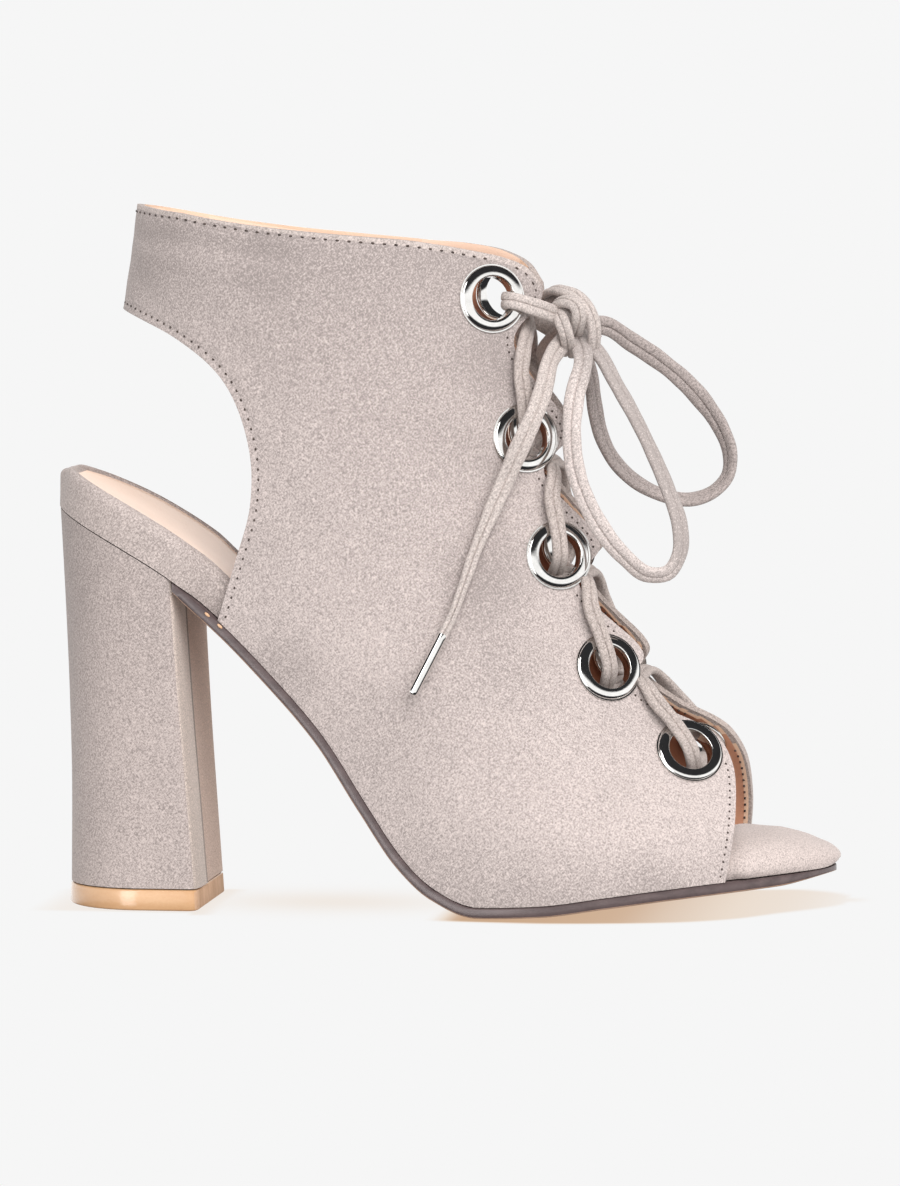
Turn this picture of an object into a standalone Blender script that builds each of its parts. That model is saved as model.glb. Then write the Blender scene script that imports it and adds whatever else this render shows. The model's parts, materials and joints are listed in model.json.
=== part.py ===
"""Open-toe, open-back lace-up ankle boot on a block heel: right foot, about EU 38.

All sizes are millimetres; MM turns them into Blender's metres when a mesh is made.
Station x runs from the back of the heel seat (0) to the tip of the toe (LENGTH), z is the
height over the floor, and y is positive on the inner (medial) side of the foot.
The feather line is where the upper meets the sole: its height and the half width of the sole
at each station drive the sole, the footbed, the heel and the lower edge of the upper.
"""
import math
from collections import namedtuple

import bmesh
import bpy
import numpy as np
from mathutils import Matrix, Vector

MM = 0.001

# Driving sizes
LENGTH = 209.6
SOLE_THICKNESS = 3.0
SOLE_EDGE_ROLL = 1.0
SOLE_END_RUN = 8.0
GAP = 0.3
HEEL_ROUND = 24.0
TOE_ROUND = 37.0
TOE_POWER = 2.1

# Sole: height of the feather line, sideways shift of the middle, half width before the ends are rounded
SoleStation = namedtuple("SoleStation", "x feather middle half_width")
SOLE = (
    SoleStation(0.0, 106.5, 2.4, 25.0),
    SoleStation(21.0, 95.9, 2.2, 26.4),
    SoleStation(34.0, 87.9, 1.8, 27.1),
    SoleStation(47.0, 77.3, 1.2, 27.4),
    SoleStation(60.0, 64.4, 0.5, 27.6),
    SoleStation(75.0, 47.4, -0.2, 28.6),
    SoleStation(87.0, 29.0, -0.5, 31.0),
    SoleStation(97.5, 14.4, -0.5, 34.5),
    SoleStation(106.0, 7.2, -0.4, 37.2),
    SoleStation(117.0, SOLE_THICKNESS, -0.2, 39.5),
    SoleStation(134.0, SOLE_THICKNESS, 0.0, 41.0),
    SoleStation(150.0, 5.4, 0.5, 39.6),
    SoleStation(166.0, 8.3, 1.5, 36.6),
    SoleStation(181.0, 10.3, 2.8, 32.4),
    SoleStation(196.0, 11.6, 4.0, 27.6),
    SoleStation(LENGTH, 12.3, 5.0, 23.0),
)

# Footbed: height of its edge, lean of the edge (0 upright, 1 square to the sole), crown of its middle,
# depth of the recess that takes the sock, and how far it sits inside the sole's edge
FootbedStation = namedtuple("FootbedStation", "x height lean crown recess inset")
FOOTBED = (
    FootbedStation(0.0, 11.6, 0.35, -0.8, 1.5, 0.3),
    FootbedStation(35.0, 11.3, 0.4, -0.8, 1.5, 0.3),
    FootbedStation(41.0, 10.9, 0.45, -0.7, 1.5, 3.2),
    FootbedStation(48.0, 9.8, 0.6, -0.5, 1.5, 3.2),
    FootbedStation(66.0, 4.6, 1.0, 0.0, 1.5, 3.2),
    FootbedStation(150.0, 4.2, 1.0, 0.4, 1.5, 3.2),
    FootbedStation(162.0, 4.2, 1.0, 1.2, 0.0, 3.8),
    FootbedStation(182.0, 5.0, 1.0, 3.0, 0.0, 3.8),
    FootbedStation(187.0, 5.4, 1.0, 3.2, 0.0, 1.4),
    FootbedStation(LENGTH, 5.4, 1.0, 1.4, 0.0, 0.6),
)
FOOTBED_EDGE_ROUND = 1.7
FOOTBED_LIP_SHARE = 0.8
FOOTBED_UNDERSIDE_SHARE = 0.5
CROWN_RUN = 16.0
SOCK_RIM = 2.2
SOCK_THICKNESS = 1.0
SOCK_BACK = 4.5
SOCK_FRONT = 148.0
SOCK_FIT = 0.975
BED_COLUMNS = (0.985, 0.5)

# Block heel: share of its height, station of its back and breast, half width, straight share of its side
HeelLevel = namedtuple("HeelLevel", "share back breast half straight")
HEEL = (
    HeelLevel(0.0, 3.3, 39.6, 23.0, 0.42),
    HeelLevel(0.25, 3.6, 38.0, 23.8, 0.40),
    HeelLevel(0.5, 3.0, 36.4, 24.7, 0.36),
    HeelLevel(0.75, 1.9, 35.0, 25.7, 0.32),
    HeelLevel(1.0, 0.3, 33.8, 26.8, 0.29),
)
ORIGIN_STATION = (HEEL[-1].back + LENGTH) / 2
HEEL_CORNER = 2.4
HEEL_CORNER_SHARES = (0.0, 0.022, 0.07)
LIFT_THICKNESS = 5.6

# Upper: outer skin edges, half = distance from the middle line
UPPER_WALL = 1.8
UPPER_INSET = 0.8
UPPER_FOOT_GAP = 0.6
EdgePoint = namedtuple("EdgePoint", "x z half")
COLLAR = (
    EdgePoint(20.5, 187.4, 0.0),
    EdgePoint(25.6, 186.4, 12.0),
    EdgePoint(35.8, 184.8, 21.5),
    EdgePoint(55.7, 181.8, 28.2),
    EdgePoint(77.2, 179.2, 29.4),
    EdgePoint(95.6, 177.2, 25.8),
    EdgePoint(110.9, 175.2, 19.2),
    EdgePoint(120.8, 173.3, 13.8),
    EdgePoint(127.2, 170.4, 10.2),
    EdgePoint(130.6, 166.4, 8.4),
)
STRAP_BACK = (
    EdgePoint(20.5, 187.4, 0.0),
    EdgePoint(19.7, 181.0, 0.0),
    EdgePoint(18.8, 174.0, 0.0),
    EdgePoint(17.7, 167.0, 0.0),
    EdgePoint(16.6, 159.6, 0.0),
)
HEEL_CUT_OUT = (
    EdgePoint(16.6, 159.6, 0.0),
    EdgePoint(22.6, 157.4, 12.6),
    EdgePoint(34.5, 152.3, 22.6),
    EdgePoint(48.0, 141.6, 28.2),
    EdgePoint(55.0, 125.4, 29.8),
    EdgePoint(55.5, 108.6, 29.0),
    EdgePoint(51.4, 94.0, 27.8),
)
UPPER_BACK_CORNER = 46.4
THROAT = (
    EdgePoint(130.6, 166.4, 8.4),
    EdgePoint(132.2, 160.0, 7.6),
    EdgePoint(138.0, 127.4, 10.4),
    EdgePoint(146.8, 97.0, 12.2),
    EdgePoint(159.8, 66.6, 14.0),
    EdgePoint(170.4, 52.8, 15.0),
    EdgePoint(178.6, 47.2, 16.2),
    EdgePoint(182.2, 40.8, 19.2),
    EdgePoint(183.6, 30.0, 25.4),
    EdgePoint(183.0, 20.0, 29.6),
)
TOE_OPENING_FOOT = 181.4

# Upper between its edges: ankle, instep and vamp
BODY = (
    EdgePoint(75.0, 140.0, 30.0),
    EdgePoint(75.0, 100.0, 30.6),
    EdgePoint(76.0, 70.0, 30.0),
    EdgePoint(104.0, 150.0, 23.8),
    EdgePoint(105.0, 120.0, 26.0),
    EdgePoint(105.0, 85.0, 30.4),
    EdgePoint(105.0, 45.0, 35.2),
    EdgePoint(130.0, 85.0, 23.4),
    EdgePoint(130.0, 55.0, 32.2),
    EdgePoint(130.0, 25.0, 39.6),
    EdgePoint(156.0, 46.0, 26.4),
    EdgePoint(156.0, 28.0, 35.0),
    EdgePoint(172.0, 30.0, 29.6),
)
SKIN_FOOT_ROWS = 12

# Eyelets seen from the side, and how deep the edge is cut back between them
SidePoint = namedtuple("SidePoint", "x z")
EYELETS = (
    SidePoint(118.2, 163.1),
    SidePoint(127.2, 126.4),
    SidePoint(136.2, 95.6),
    SidePoint(149.5, 66.2),
    SidePoint(171.0, 44.3),
)
NOTCH_DEPTHS = (11.0, 9.8, 10.2, 8.4)
NOTCH_REACH = 0.6
EYELET_HOLE = 5.5
EYELET_BARREL = 6.0
EYELET_FLANGE = 8.3
EYELET_HEIGHT = 1.6
EYELET_BEVEL = 0.6
EYELET_GAP = 0.4
WASHER_RADIUS = 7.5
WASHER_THICKNESS = 0.8
HOLE_RADIUS = EYELET_BARREL + 2 * GAP
HOLE_CUTTER_DEPTH = 12 * UPPER_WALL
SEAT_FLAT = 10.2
SEAT_BLEND = 14.5
SIDES = (("outer", -1), ("inner", 1))

# Lace
LACE_DIAMETER = 3.6
LACE_SPACING = 8.0
STRAND_SPACING = 6.0
STRAND_OVER_EDGE = 1.2
EDGE_CLEAR = 1.0
STRAND_INSIDE = 2.6
STRAND_LIE_SHARE = 0.3
STRAND_RIM_SHARE = 0.6
LEAD_OVER_RING = (SidePoint(125.8, 160.6), SidePoint(131.8, 158.2))
AGLET_DIAMETER = 2.6
AGLET_LENGTH = 17.0
KNOT_CENTRE = (138.6, -3.5, 154.6)
KNOT_RADII = (6.0, 6.0, 8.2)

# Routes of the free lace: station, side, height; loops start and end at the knot, ends stop at an aglet
LOOP_FRONT = (
    (142.0, -12.0, 147.0), (140.2, -17.0, 137.0), (139.9, -20.5, 127.5), (141.2, -22.5, 119.0),
    (144.2, -23.0, 111.0), (149.0, -22.8, 102.5), (154.5, -21.5, 96.0), (160.0, -19.8, 91.5),
    (164.8, -18.2, 91.8), (167.6, -17.0, 96.5), (167.6, -15.8, 103.5), (164.6, -14.2, 112.0),
    (160.0, -12.6, 122.3), (154.6, -11.0, 132.5), (149.4, -9.0, 141.3), (146.4, -7.2, 147.2),
)
LOOP_BACK = (
    (146.5, 3.6, 155.6), (152.7, 6.5, 151.4), (159.7, 8.5, 146.6), (166.1, 10.0, 141.0),
    (171.6, 11.0, 134.3), (175.9, 11.2, 127.7), (178.2, 11.2, 121.2), (177.6, 11.0, 115.6),
    (173.9, 10.4, 111.4), (168.3, 10.0, 109.4), (161.7, 9.0, 110.4), (154.8, 8.0, 113.6),
    (148.4, 7.0, 119.7), (144.9, 5.6, 126.5), (143.4, 4.4, 133.4), (142.4, 2.4, 141.5),
)
END_OUTER = (
    (133.6, -14.0, 147.0), (132.3, -20.6, 139.0), (130.0, -25.4, 131.5), (126.6, -26.8, 123.8),
    (123.2, -26.4, 116.0), (119.5, -27.6, 107.3), (115.6, -29.6, 97.5), (112.4, -32.0, 87.5),
    (109.6, -34.0, 79.5), (107.4, -35.2, 75.0),
)

# Resolution
SOLE_ROWS = 34
HEEL_ROWS = 6
HEEL_SIDE_POINTS = 11
EYELET_STEPS = 12
STRAP_COLUMNS = (0.0, 0.025, 0.09, 0.2, 0.38, 0.65, 1.0)
SIDE_COLUMNS = 12
ROWS_PER_LOBE = 6
TOE_ROWS = 6
STRAP_LOBE = 3
COLLAR_SPLIT = 0.34
CUT_OUT_SPLIT = 0.37
FOOT_CURVE_POINTS = 30
THROAT_SAMPLES = 401
KNOT_SEGMENTS = 10
KNOT_RINGS = 7
WELD = 1e-6


def monotone(xs, ys, x):
    """Smooth curve through (xs, ys) that never overshoots between two points."""
    xs = np.asarray(xs, float)
    ys = np.asarray(ys, float)
    steps = np.diff(xs)
    slopes = np.diff(ys) / steps
    tangents = np.zeros(len(xs))
    tangents[0] = slopes[0]
    tangents[-1] = slopes[-1]
    for i in range(1, len(xs) - 1):
        if slopes[i - 1] * slopes[i] > 0:
            before = 2 * steps[i] + steps[i - 1]
            after = steps[i] + 2 * steps[i - 1]
            tangents[i] = (before + after) / (before / slopes[i - 1] + after / slopes[i])
    x = min(max(x, xs[0]), xs[-1])
    i = min(int(np.searchsorted(xs, x, side="right")) - 1, len(xs) - 2)
    u = (x - xs[i]) / steps[i]
    return (ys[i] * (1 + 2 * u) * (1 - u) ** 2 + tangents[i] * steps[i] * u * (1 - u) ** 2
            + ys[i + 1] * u * u * (3 - 2 * u) + tangents[i + 1] * steps[i] * u * u * (u - 1))


def station_value(table, name, x):
    """Value of one named column of a station table at x."""
    return monotone([row.x for row in table], [getattr(row, name) for row in table], x)


def feather(x):
    return station_value(SOLE, "feather", x)


def middle(x):
    return station_value(SOLE, "middle", x)


def sole_half(x, inset=0.0):
    """Half width of the sole, with its round heel seat and toe, or of an outline set inside it."""
    body = station_value(SOLE, "half_width", x) - inset
    heel = 1 - min(max(x - inset, 0.0) / (HEEL_ROUND - inset), 1.0)
    toe = 1 - min(max(LENGTH - inset - x, 0.0) / (TOE_ROUND - inset), 1.0)
    return body * math.sqrt(1 - heel ** 2) * (1 - toe ** TOE_POWER) ** (1 / TOE_POWER)


def sole_normal(x, lean=1.0):
    """Unit vector (dx, dz) out of the top of the sole, turned back towards upright by lean."""
    step = 0.5
    rise = (feather(x + step) - feather(x - step)) / (2 * step)
    angle = math.atan(rise) * lean
    return -math.sin(angle), math.cos(angle)


def world(x, y, z):
    """Millimetres from the heel to Blender's metres, the origin under the middle of the shoe."""
    return Vector(((x - ORIGIN_STATION) * MM, y * MM, z * MM))


class EdgeCurve:
    """Smooth curve through points, read by its share of the length from 0 to 1."""

    def __init__(self, points):
        self.points = np.array(points, float)
        chords = np.linalg.norm(np.diff(self.points, axis=0), axis=1)
        self.along = np.concatenate([[0], np.cumsum(chords)])
        self.tangents = np.gradient(self.points, self.along, axis=0)

    def __call__(self, share):
        at = min(max(share, 0.0), 1.0) * self.along[-1]
        i = min(int(np.searchsorted(self.along, at, side="right")) - 1, len(self.points) - 2)
        step = self.along[i + 1] - self.along[i]
        u = (at - self.along[i]) / step
        return (self.points[i] * (1 + 2 * u) * (1 - u) ** 2 + self.tangents[i] * step * u * (1 - u) ** 2
                + self.points[i + 1] * u * u * (3 - 2 * u) + self.tangents[i + 1] * step * u * u * (u - 1))


def upper_foot(x):
    """Lower edge of the upper, just over the sole and inside its edge."""
    return EdgePoint(x, feather(x) + UPPER_FOOT_GAP, sole_half(x, UPPER_INSET))


def side_curve(points):
    """Edge as it is seen from the side."""
    return EdgeCurve([(point.x, point.z) for point in points])


def filled(top, bottom, left, right):
    """Flat sheet between four edges: s runs along top and bottom, t along left and right."""
    def place(s, t):
        corners = ((1 - s) * (1 - t) * top(0) + s * (1 - t) * top(1)
                   + (1 - s) * t * bottom(0) + s * t * bottom(1))
        return (1 - t) * top(s) + t * bottom(s) + (1 - s) * left(t) + s * right(t) - corners
    return place


class Upper:
    """Outer skin of one side: its side view in two sheets, and the half width over each point of it."""

    def __init__(self):
        self.fit_half_width()
        self.seats = []
        self.seats = [(self.skin(*point), self.normal(*point)) for point in EYELETS]
        self.throat = side_curve(THROAT + (upper_foot(TOE_OPENING_FOOT),))
        self.eyelet_shares = [self.nearest_share(point) for point in EYELETS]
        self.rows = self.row_shares()
        self.lay_sheets()

    def fit_half_width(self):
        """Thin-plate surface through the squares of the half widths, which keeps the back strap round."""
        foot = np.linspace(UPPER_BACK_CORNER, TOE_OPENING_FOOT, SKIN_FOOT_ROWS)
        rows = COLLAR + STRAP_BACK + HEEL_CUT_OUT + THROAT + BODY + tuple(upper_foot(x) for x in foot)
        rows = list(dict.fromkeys(rows))
        self.knots = np.array([(row.x, row.z) for row in rows]) / LENGTH
        count = len(rows)
        system = np.zeros((count + 3, count + 3))
        system[:count, :count] = self.bend(self.knots[:, None] - self.knots[None])
        system[:count, count:] = np.column_stack([np.ones(count), self.knots])
        system[count:, :count] = system[:count, count:].T
        squares = np.array([row.half ** 2 for row in rows])
        self.weights = np.linalg.solve(system, np.concatenate([squares, np.zeros(3)]))

    @staticmethod
    def bend(offsets):
        distance = np.linalg.norm(offsets, axis=-1)
        return distance ** 2 * np.log(np.maximum(distance, 1e-9))

    def half(self, x, z):
        """Half width of the skin at a point of the side view."""
        place = np.array((x, z)) / LENGTH
        terms = np.concatenate([self.bend(place - self.knots), (1.0,), place])
        return math.sqrt(max(terms @ self.weights, 0.0))

    def skin(self, x, z):
        """Point (x, half, z) of the skin, pressed flat under each eyelet."""
        place = np.array((x, self.half(x, z), z))
        for centre, normal in self.seats:
            height = (place - centre) @ normal
            radius = np.linalg.norm(place - centre - height * normal)
            share = min(max((SEAT_BLEND - radius) / (SEAT_BLEND - SEAT_FLAT), 0.0), 1.0)
            place = place - normal * height * share * share * (3 - 2 * share)
        return place

    def normal(self, x, z):
        step = 0.3
        slope_x = (self.half(x + step, z) - self.half(x - step, z)) / (2 * step)
        slope_z = (self.half(x, z + step) - self.half(x, z - step)) / (2 * step)
        direction = np.array((-slope_x, 1.0, -slope_z))
        return direction / np.linalg.norm(direction)

    def lifted(self, place, side, lift):
        """Point over the skin of one side (-1 outer, 1 inner), as x, y, z without the shift of the middle."""
        x, half, z = self.skin(*place) + lift * self.normal(*place)
        return np.array((x, side * half, z))

    def nearest_share(self, point):
        shares = np.linspace(0, 1, THROAT_SAMPLES)
        return min(shares, key=lambda share: np.linalg.norm(self.throat(share) - np.array(point)))

    def notch_share(self, number):
        return (self.eyelet_shares[number] + self.eyelet_shares[number + 1]) / 2

    def row_shares(self):
        """Row places down the throat, with even steps between the eyelets and the notches."""
        keys = [0.0]
        for number, share in enumerate(self.eyelet_shares):
            keys.append(share)
            if number < len(NOTCH_DEPTHS):
                keys.append(self.notch_share(number))
        rows = [0.0, keys[1]]
        for first, second in zip(keys[1:], keys[2:]):
            steps = ROWS_PER_LOBE // 2
            rows += [first + (second - first) * (i + 1) / steps for i in range(steps)]
        return rows + [keys[-1] + (1 - keys[-1]) * (i + 1) / TOE_ROWS for i in range(TOE_ROWS)]

    def inward(self, share):
        """Direction from the throat edge back along its row, in the side view."""
        run = self.main(1.0 - NOTCH_REACH, share) - self.throat(share)
        return run / np.linalg.norm(run)

    def cut_back(self, share):
        """How far the scalloped edge is cut back at a share of the throat's length."""
        for number, depth in enumerate(NOTCH_DEPTHS):
            first, second = self.eyelet_shares[number], self.eyelet_shares[number + 1]
            if first < share < second:
                return depth * (1 - math.cos(2 * math.pi * (share - first) / (second - first))) / 2
        return 0.0

    def edge(self, share):
        """Point of the scalloped throat edge in the side view."""
        return self.throat(share) + self.cut_back(share) * self.inward(share)

    def lay_sheets(self):
        """Strap sheet behind the split line, main sheet in front of it."""
        collar = side_curve(COLLAR)
        cut_out = side_curve(HEEL_CUT_OUT + (upper_foot(UPPER_BACK_CORNER),))
        foot_stations = np.linspace(UPPER_BACK_CORNER, TOE_OPENING_FOOT, FOOT_CURVE_POINTS)
        foot = side_curve([upper_foot(x) for x in foot_stations])
        back = side_curve(STRAP_BACK)
        self.split = self.notch_share(STRAP_LOBE - 1)
        split_top, split_foot = collar(COLLAR_SPLIT), cut_out(CUT_OUT_SPLIT)

        def split_line(share):
            return split_top + (split_foot - split_top) * share

        def front_left(share):
            if share < self.split:
                return split_line(share / self.split)
            rest = (share - self.split) / (1 - self.split)
            return cut_out(CUT_OUT_SPLIT + (1 - CUT_OUT_SPLIT) * rest)

        self.strap = filled(lambda s: collar(s * COLLAR_SPLIT), lambda s: cut_out(s * CUT_OUT_SPLIT),
                            back, split_line)
        self.main = filled(lambda s: collar(COLLAR_SPLIT + s * (1 - COLLAR_SPLIT)), foot,
                           front_left, self.throat)

    def row(self, share):
        """Points (x, half, z) of one row, from the back or the cut-out to the throat."""
        points = []
        if share <= self.split + 1e-9:
            for s in STRAP_COLUMNS[:-1]:
                points.append(self.skin(*self.strap(s, share / self.split)))
            points[0][1] = 0.0
        for column in range(SIDE_COLUMNS + 1):
            s = column / SIDE_COLUMNS
            near_edge = max(s - 1 + NOTCH_REACH, 0.0) / NOTCH_REACH
            place = self.main(s, share) + self.cut_back(share) * self.inward(share) * near_edge ** 2
            points.append(self.skin(*place))
        return points


def clear_scene():
    for thing in list(bpy.data.objects):
        bpy.data.objects.remove(thing, do_unlink=True)


def new_collection(name):
    group = bpy.data.collections.new(name)
    bpy.context.scene.collection.children.link(group)
    return group


def principled(name, colour, roughness, metallic=0.0):
    material = bpy.data.materials.new(name)
    material.use_nodes = True
    shader = material.node_tree.nodes["Principled BSDF"]
    shader.inputs["Base Color"].default_value = (*colour, 1.0)
    shader.inputs["Roughness"].default_value = roughness
    shader.inputs["Metallic"].default_value = metallic
    return material


def mesh_object(name, mesh, material, group, smooth_angle=40.0):
    thing = bpy.data.objects.new(name, mesh)
    group.objects.link(thing)
    if material:
        mesh.materials.append(material)
    mesh.shade_smooth()
    mesh.set_sharp_from_angle(angle=math.radians(smooth_angle))
    return thing


def grid_mesh(name, rows, closed=False, flat_ends=False):
    """Skin over rows of points; a closed row joins its last point to its first, a flat end is filled."""
    shape = bmesh.new()
    made = [[shape.verts.new(place) for place in row] for row in rows]
    for first, second in zip(made, made[1:]):
        columns = len(first) if closed else len(first) - 1
        for i in range(columns):
            j = (i + 1) % len(first)
            shape.faces.new((first[i], first[j], second[j], second[i]))
    bmesh.ops.remove_doubles(shape, verts=shape.verts, dist=WELD)
    bmesh.ops.dissolve_degenerate(shape, edges=shape.edges, dist=WELD)
    if flat_ends:
        bmesh.ops.holes_fill(shape, edges=[edge for edge in shape.edges if edge.is_boundary])
    bmesh.ops.recalc_face_normals(shape, faces=shape.faces)
    mesh = bpy.data.meshes.new(name)
    shape.to_mesh(mesh)
    shape.free()
    return mesh


def eased_stations(start, end, count, round_start, round_end):
    """Stations along the sole, closer together at a rounded end."""
    shares = []
    for i in range(count + 1):
        u = i / count
        low = (1 - math.cos(math.pi * u)) / 2
        early = low if round_start else u
        late = low if round_end else u
        shares.append(early * (1 - u) + late * u)
    return [start + (end - start) * share for share in shares]


def solidify(thing, thickness, offset):
    shell = thing.modifiers.new("wall", "SOLIDIFY")
    shell.thickness = thickness * MM
    shell.offset = offset
    shell.use_even_offset = True
    return shell


def build_outsole(material, group):
    """Thin sole from the breast of the heel to the toe, its lower edge rolled in."""
    begin = HEEL[-1].breast + GAP
    rows = []
    for x in eased_stations(begin, LENGTH, SOLE_ROWS, False, True):
        half = sole_half(x)
        rolled = max(half - SOLE_EDGE_ROLL, 0.0)
        lean = min((x - begin) / SOLE_END_RUN, 1.0)
        dx, dz = sole_normal(x, lean)
        section = [(half, 0.0), (half, SOLE_EDGE_ROLL - SOLE_THICKNESS), (rolled, -SOLE_THICKNESS),
                   (0.0, -SOLE_THICKNESS)]
        left = [(-across, up) for across, up in reversed(section[:-1])]
        loop = section + left + [(0.0, 0.0)]
        rows.append([world(x + dx * up, middle(x) + across, feather(x) + dz * up) for across, up in loop])
    mesh = grid_mesh("outsole", rows, closed=True, flat_ends=True)
    return mesh_object("outsole", mesh, material, group)


def footbed_half(x):
    return sole_half(x, station_value(FOOTBED, "inset", x))


def footbed_place(x, across, height):
    """Point of the footbed at a distance across from the middle and a height over the feather line."""
    dx, dz = sole_normal(x, station_value(FOOTBED, "lean", x))
    return world(x + dx * height, middle(x) + across, feather(x) + dz * height)


def footbed_crown(x, across, half):
    """Rise of the footbed's top towards its middle, running out at the two ends."""
    share = min(abs(across) / max(half, 1e-6), 1.0)
    return station_value(FOOTBED, "crown", x) * (1 - share ** 2) * min(half / CROWN_RUN, 1.0)


def footbed_stations():
    return eased_stations(FOOTBED[0].inset, LENGTH - FOOTBED[-1].inset, SOLE_ROWS, True, True)


def sock_bed_half(x):
    """Half width of the footbed's top inside its rim."""
    inset = station_value(FOOTBED, "inset", x) + SOCK_RIM
    if not inset < x < LENGTH - inset:
        return 0.0
    return sole_half(x, inset)


def sock_recess(x):
    """Depth of the recess for the sock, running out at the back of the heel seat."""
    return station_value(FOOTBED, "recess", x) * min(sock_bed_half(x) / (3 * SOCK_RIM), 1.0)


def build_footbed(material, group):
    """Covered footbed: a deep rim round the heel seat, a thin board, a cushioned toe."""
    rows = []
    for x in footbed_stations():
        half = footbed_half(x)
        height = station_value(FOOTBED, "height", x)
        rim = max(sock_bed_half(x), half / 2)
        recess = sock_recess(x)
        lip = max(half - FOOTBED_EDGE_ROUND, FOOTBED_LIP_SHARE * half)
        section = [(half, GAP), (half, height - FOOTBED_EDGE_ROUND), (lip, height), (rim, height)]
        for share in BED_COLUMNS:
            section.append((rim * share, height - recess + footbed_crown(x, rim * share, half)))
        right = section + [(0.0, height - recess + footbed_crown(x, 0.0, half))]
        left = [(-across, up) for across, up in reversed(section)]
        underside = half * FOOTBED_UNDERSIDE_SHARE
        loop = right + left + [(-underside, GAP), (underside, GAP)]
        rows.append([footbed_place(x, across, up) for across, up in loop])
    return mesh_object("footbed", grid_mesh("footbed", rows, closed=True), material, group)


def build_sock(material, group):
    """Thin lining sheet that lies in the recess of the footbed."""
    shares = [-share for share in BED_COLUMNS] + [0.0] + list(reversed(BED_COLUMNS))
    rows = []
    for x in footbed_stations():
        if not SOCK_BACK < x < SOCK_FRONT:
            continue
        rim = sock_bed_half(x)
        height = station_value(FOOTBED, "height", x) - sock_recess(x) + GAP
        row = []
        for share in shares:
            crown = footbed_crown(x, share * rim, footbed_half(x))
            row.append(footbed_place(x, share * rim * SOCK_FIT, height + crown))
        rows.append(row)
    mesh = grid_mesh("sock", rows)
    if sum(face.normal.z * face.area for face in mesh.polygons) < 0:
        mesh.flip_normals()
    sheet = mesh_object("sock", mesh, material, group)
    solidify(sheet, SOCK_THICKNESS, 1)
    return sheet


def heel_ring(level):
    """Outline of the heel at one share of its height: outer side from breast to back, then inner side."""
    back = station_value_of(HEEL, "back", level)
    breast = station_value_of(HEEL, "breast", level)
    half = station_value_of(HEEL, "half", level)
    straight = station_value_of(HEEL, "straight", level)
    foot = LIFT_THICKNESS + GAP
    side = []
    for i in range(HEEL_SIDE_POINTS + 1):
        run = (breast - back) * heel_share(i)
        x = breast - run
        top_x = HEEL[-1].breast - (HEEL[-1].breast - HEEL[-1].back) * heel_share(i)
        past = max(run / (breast - back) - straight, 0.0) / (1 - straight)
        across = half * math.sqrt(max(1 - past ** 2, 0.0))
        seat = sole_half(top_x, HEEL[-1].back)
        across += (seat - across) * level ** 3
        corner = max(HEEL_CORNER - run, 0.0)
        across -= HEEL_CORNER - math.sqrt(HEEL_CORNER ** 2 - corner ** 2)
        z = foot + (feather(top_x) - foot) * level
        side.append((x, across, z))
    outer = [world(x, middle(0.0) - across, z) for x, across, z in side]
    inner = [world(x, middle(0.0) + across, z) for x, across, z in reversed(side)]
    return outer + inner


def heel_share(i):
    """Share of the way from the breast to the back of point i, close together at the corners."""
    corner = len(HEEL_CORNER_SHARES) - 1
    if i <= corner:
        return HEEL_CORNER_SHARES[i]
    u = (i - corner) / (HEEL_SIDE_POINTS - corner)
    begin = HEEL_CORNER_SHARES[-1]
    return begin + (1 - begin) * math.sin(math.pi / 2 * u)


def station_value_of(table, name, share):
    """Value of one named column of a table whose rows are shares of a height."""
    return monotone([row.share for row in table], [getattr(row, name) for row in table], share)


def capped_mesh(name, rings):
    """Skin over closed rings, its two ends closed by strips from side to side."""
    mesh = grid_mesh(name, rings, closed=True)
    shape = bmesh.new()
    shape.from_mesh(mesh)
    for ring in (rings[0], rings[-1]):
        half = len(ring) // 2
        corners = []
        for place in ring:
            corners.append(min(shape.verts, key=lambda vert: (vert.co - place).length_squared))
        for i in range(half - 1):
            quad = [corners[i], corners[i + 1], corners[-2 - i], corners[-1 - i]]
            unique = list(dict.fromkeys(quad))
            shape.faces.new(unique)
    bmesh.ops.recalc_face_normals(shape, faces=shape.faces)
    shape.to_mesh(mesh)
    shape.free()
    return mesh


def build_heel(material, group):
    rings = [heel_ring(row / HEEL_ROWS) for row in range(HEEL_ROWS + 1)]
    return mesh_object("heel_block", capped_mesh("heel_block", rings), material, group)


def build_lift(material, group):
    """Top lift: the foot of the heel's outline, extruded."""
    ring = heel_ring(0.0)
    outline = bpy.data.curves.new("top_lift", "CURVE")
    outline.dimensions = "2D"
    outline.fill_mode = "BOTH"
    outline.extrude = LIFT_THICKNESS * MM / 2
    line = outline.splines.new("POLY")
    places = ring[:len(ring) // 2] + ring[len(ring) // 2 + 1:]
    line.points.add(len(places) - 1)
    for point, place in zip(line.points, places):
        point.co = (place.x, place.y, 0.0, 1.0)
    line.use_cyclic_u = True
    lift = bpy.data.objects.new("top_lift", outline)
    lift.location.z = LIFT_THICKNESS * MM / 2
    outline.materials.append(material)
    group.objects.link(lift)
    return lift


def eyelet_frame(upper, number, side):
    """Place of an eyelet, its axis out of the skin of that side."""
    x, half, z = upper.skin(*EYELETS[number])
    along, out, up = upper.normal(*EYELETS[number])
    step = 1.0
    lean = (middle(x + step) - middle(x - step)) / (2 * step)
    place = world(x, middle(x) + side * half, z)
    axis = Vector((along / out - side * lean, side, up / out))
    frame = axis.to_track_quat("Z", "Y").to_matrix().to_4x4()
    return Matrix.Translation(place) @ frame


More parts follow.
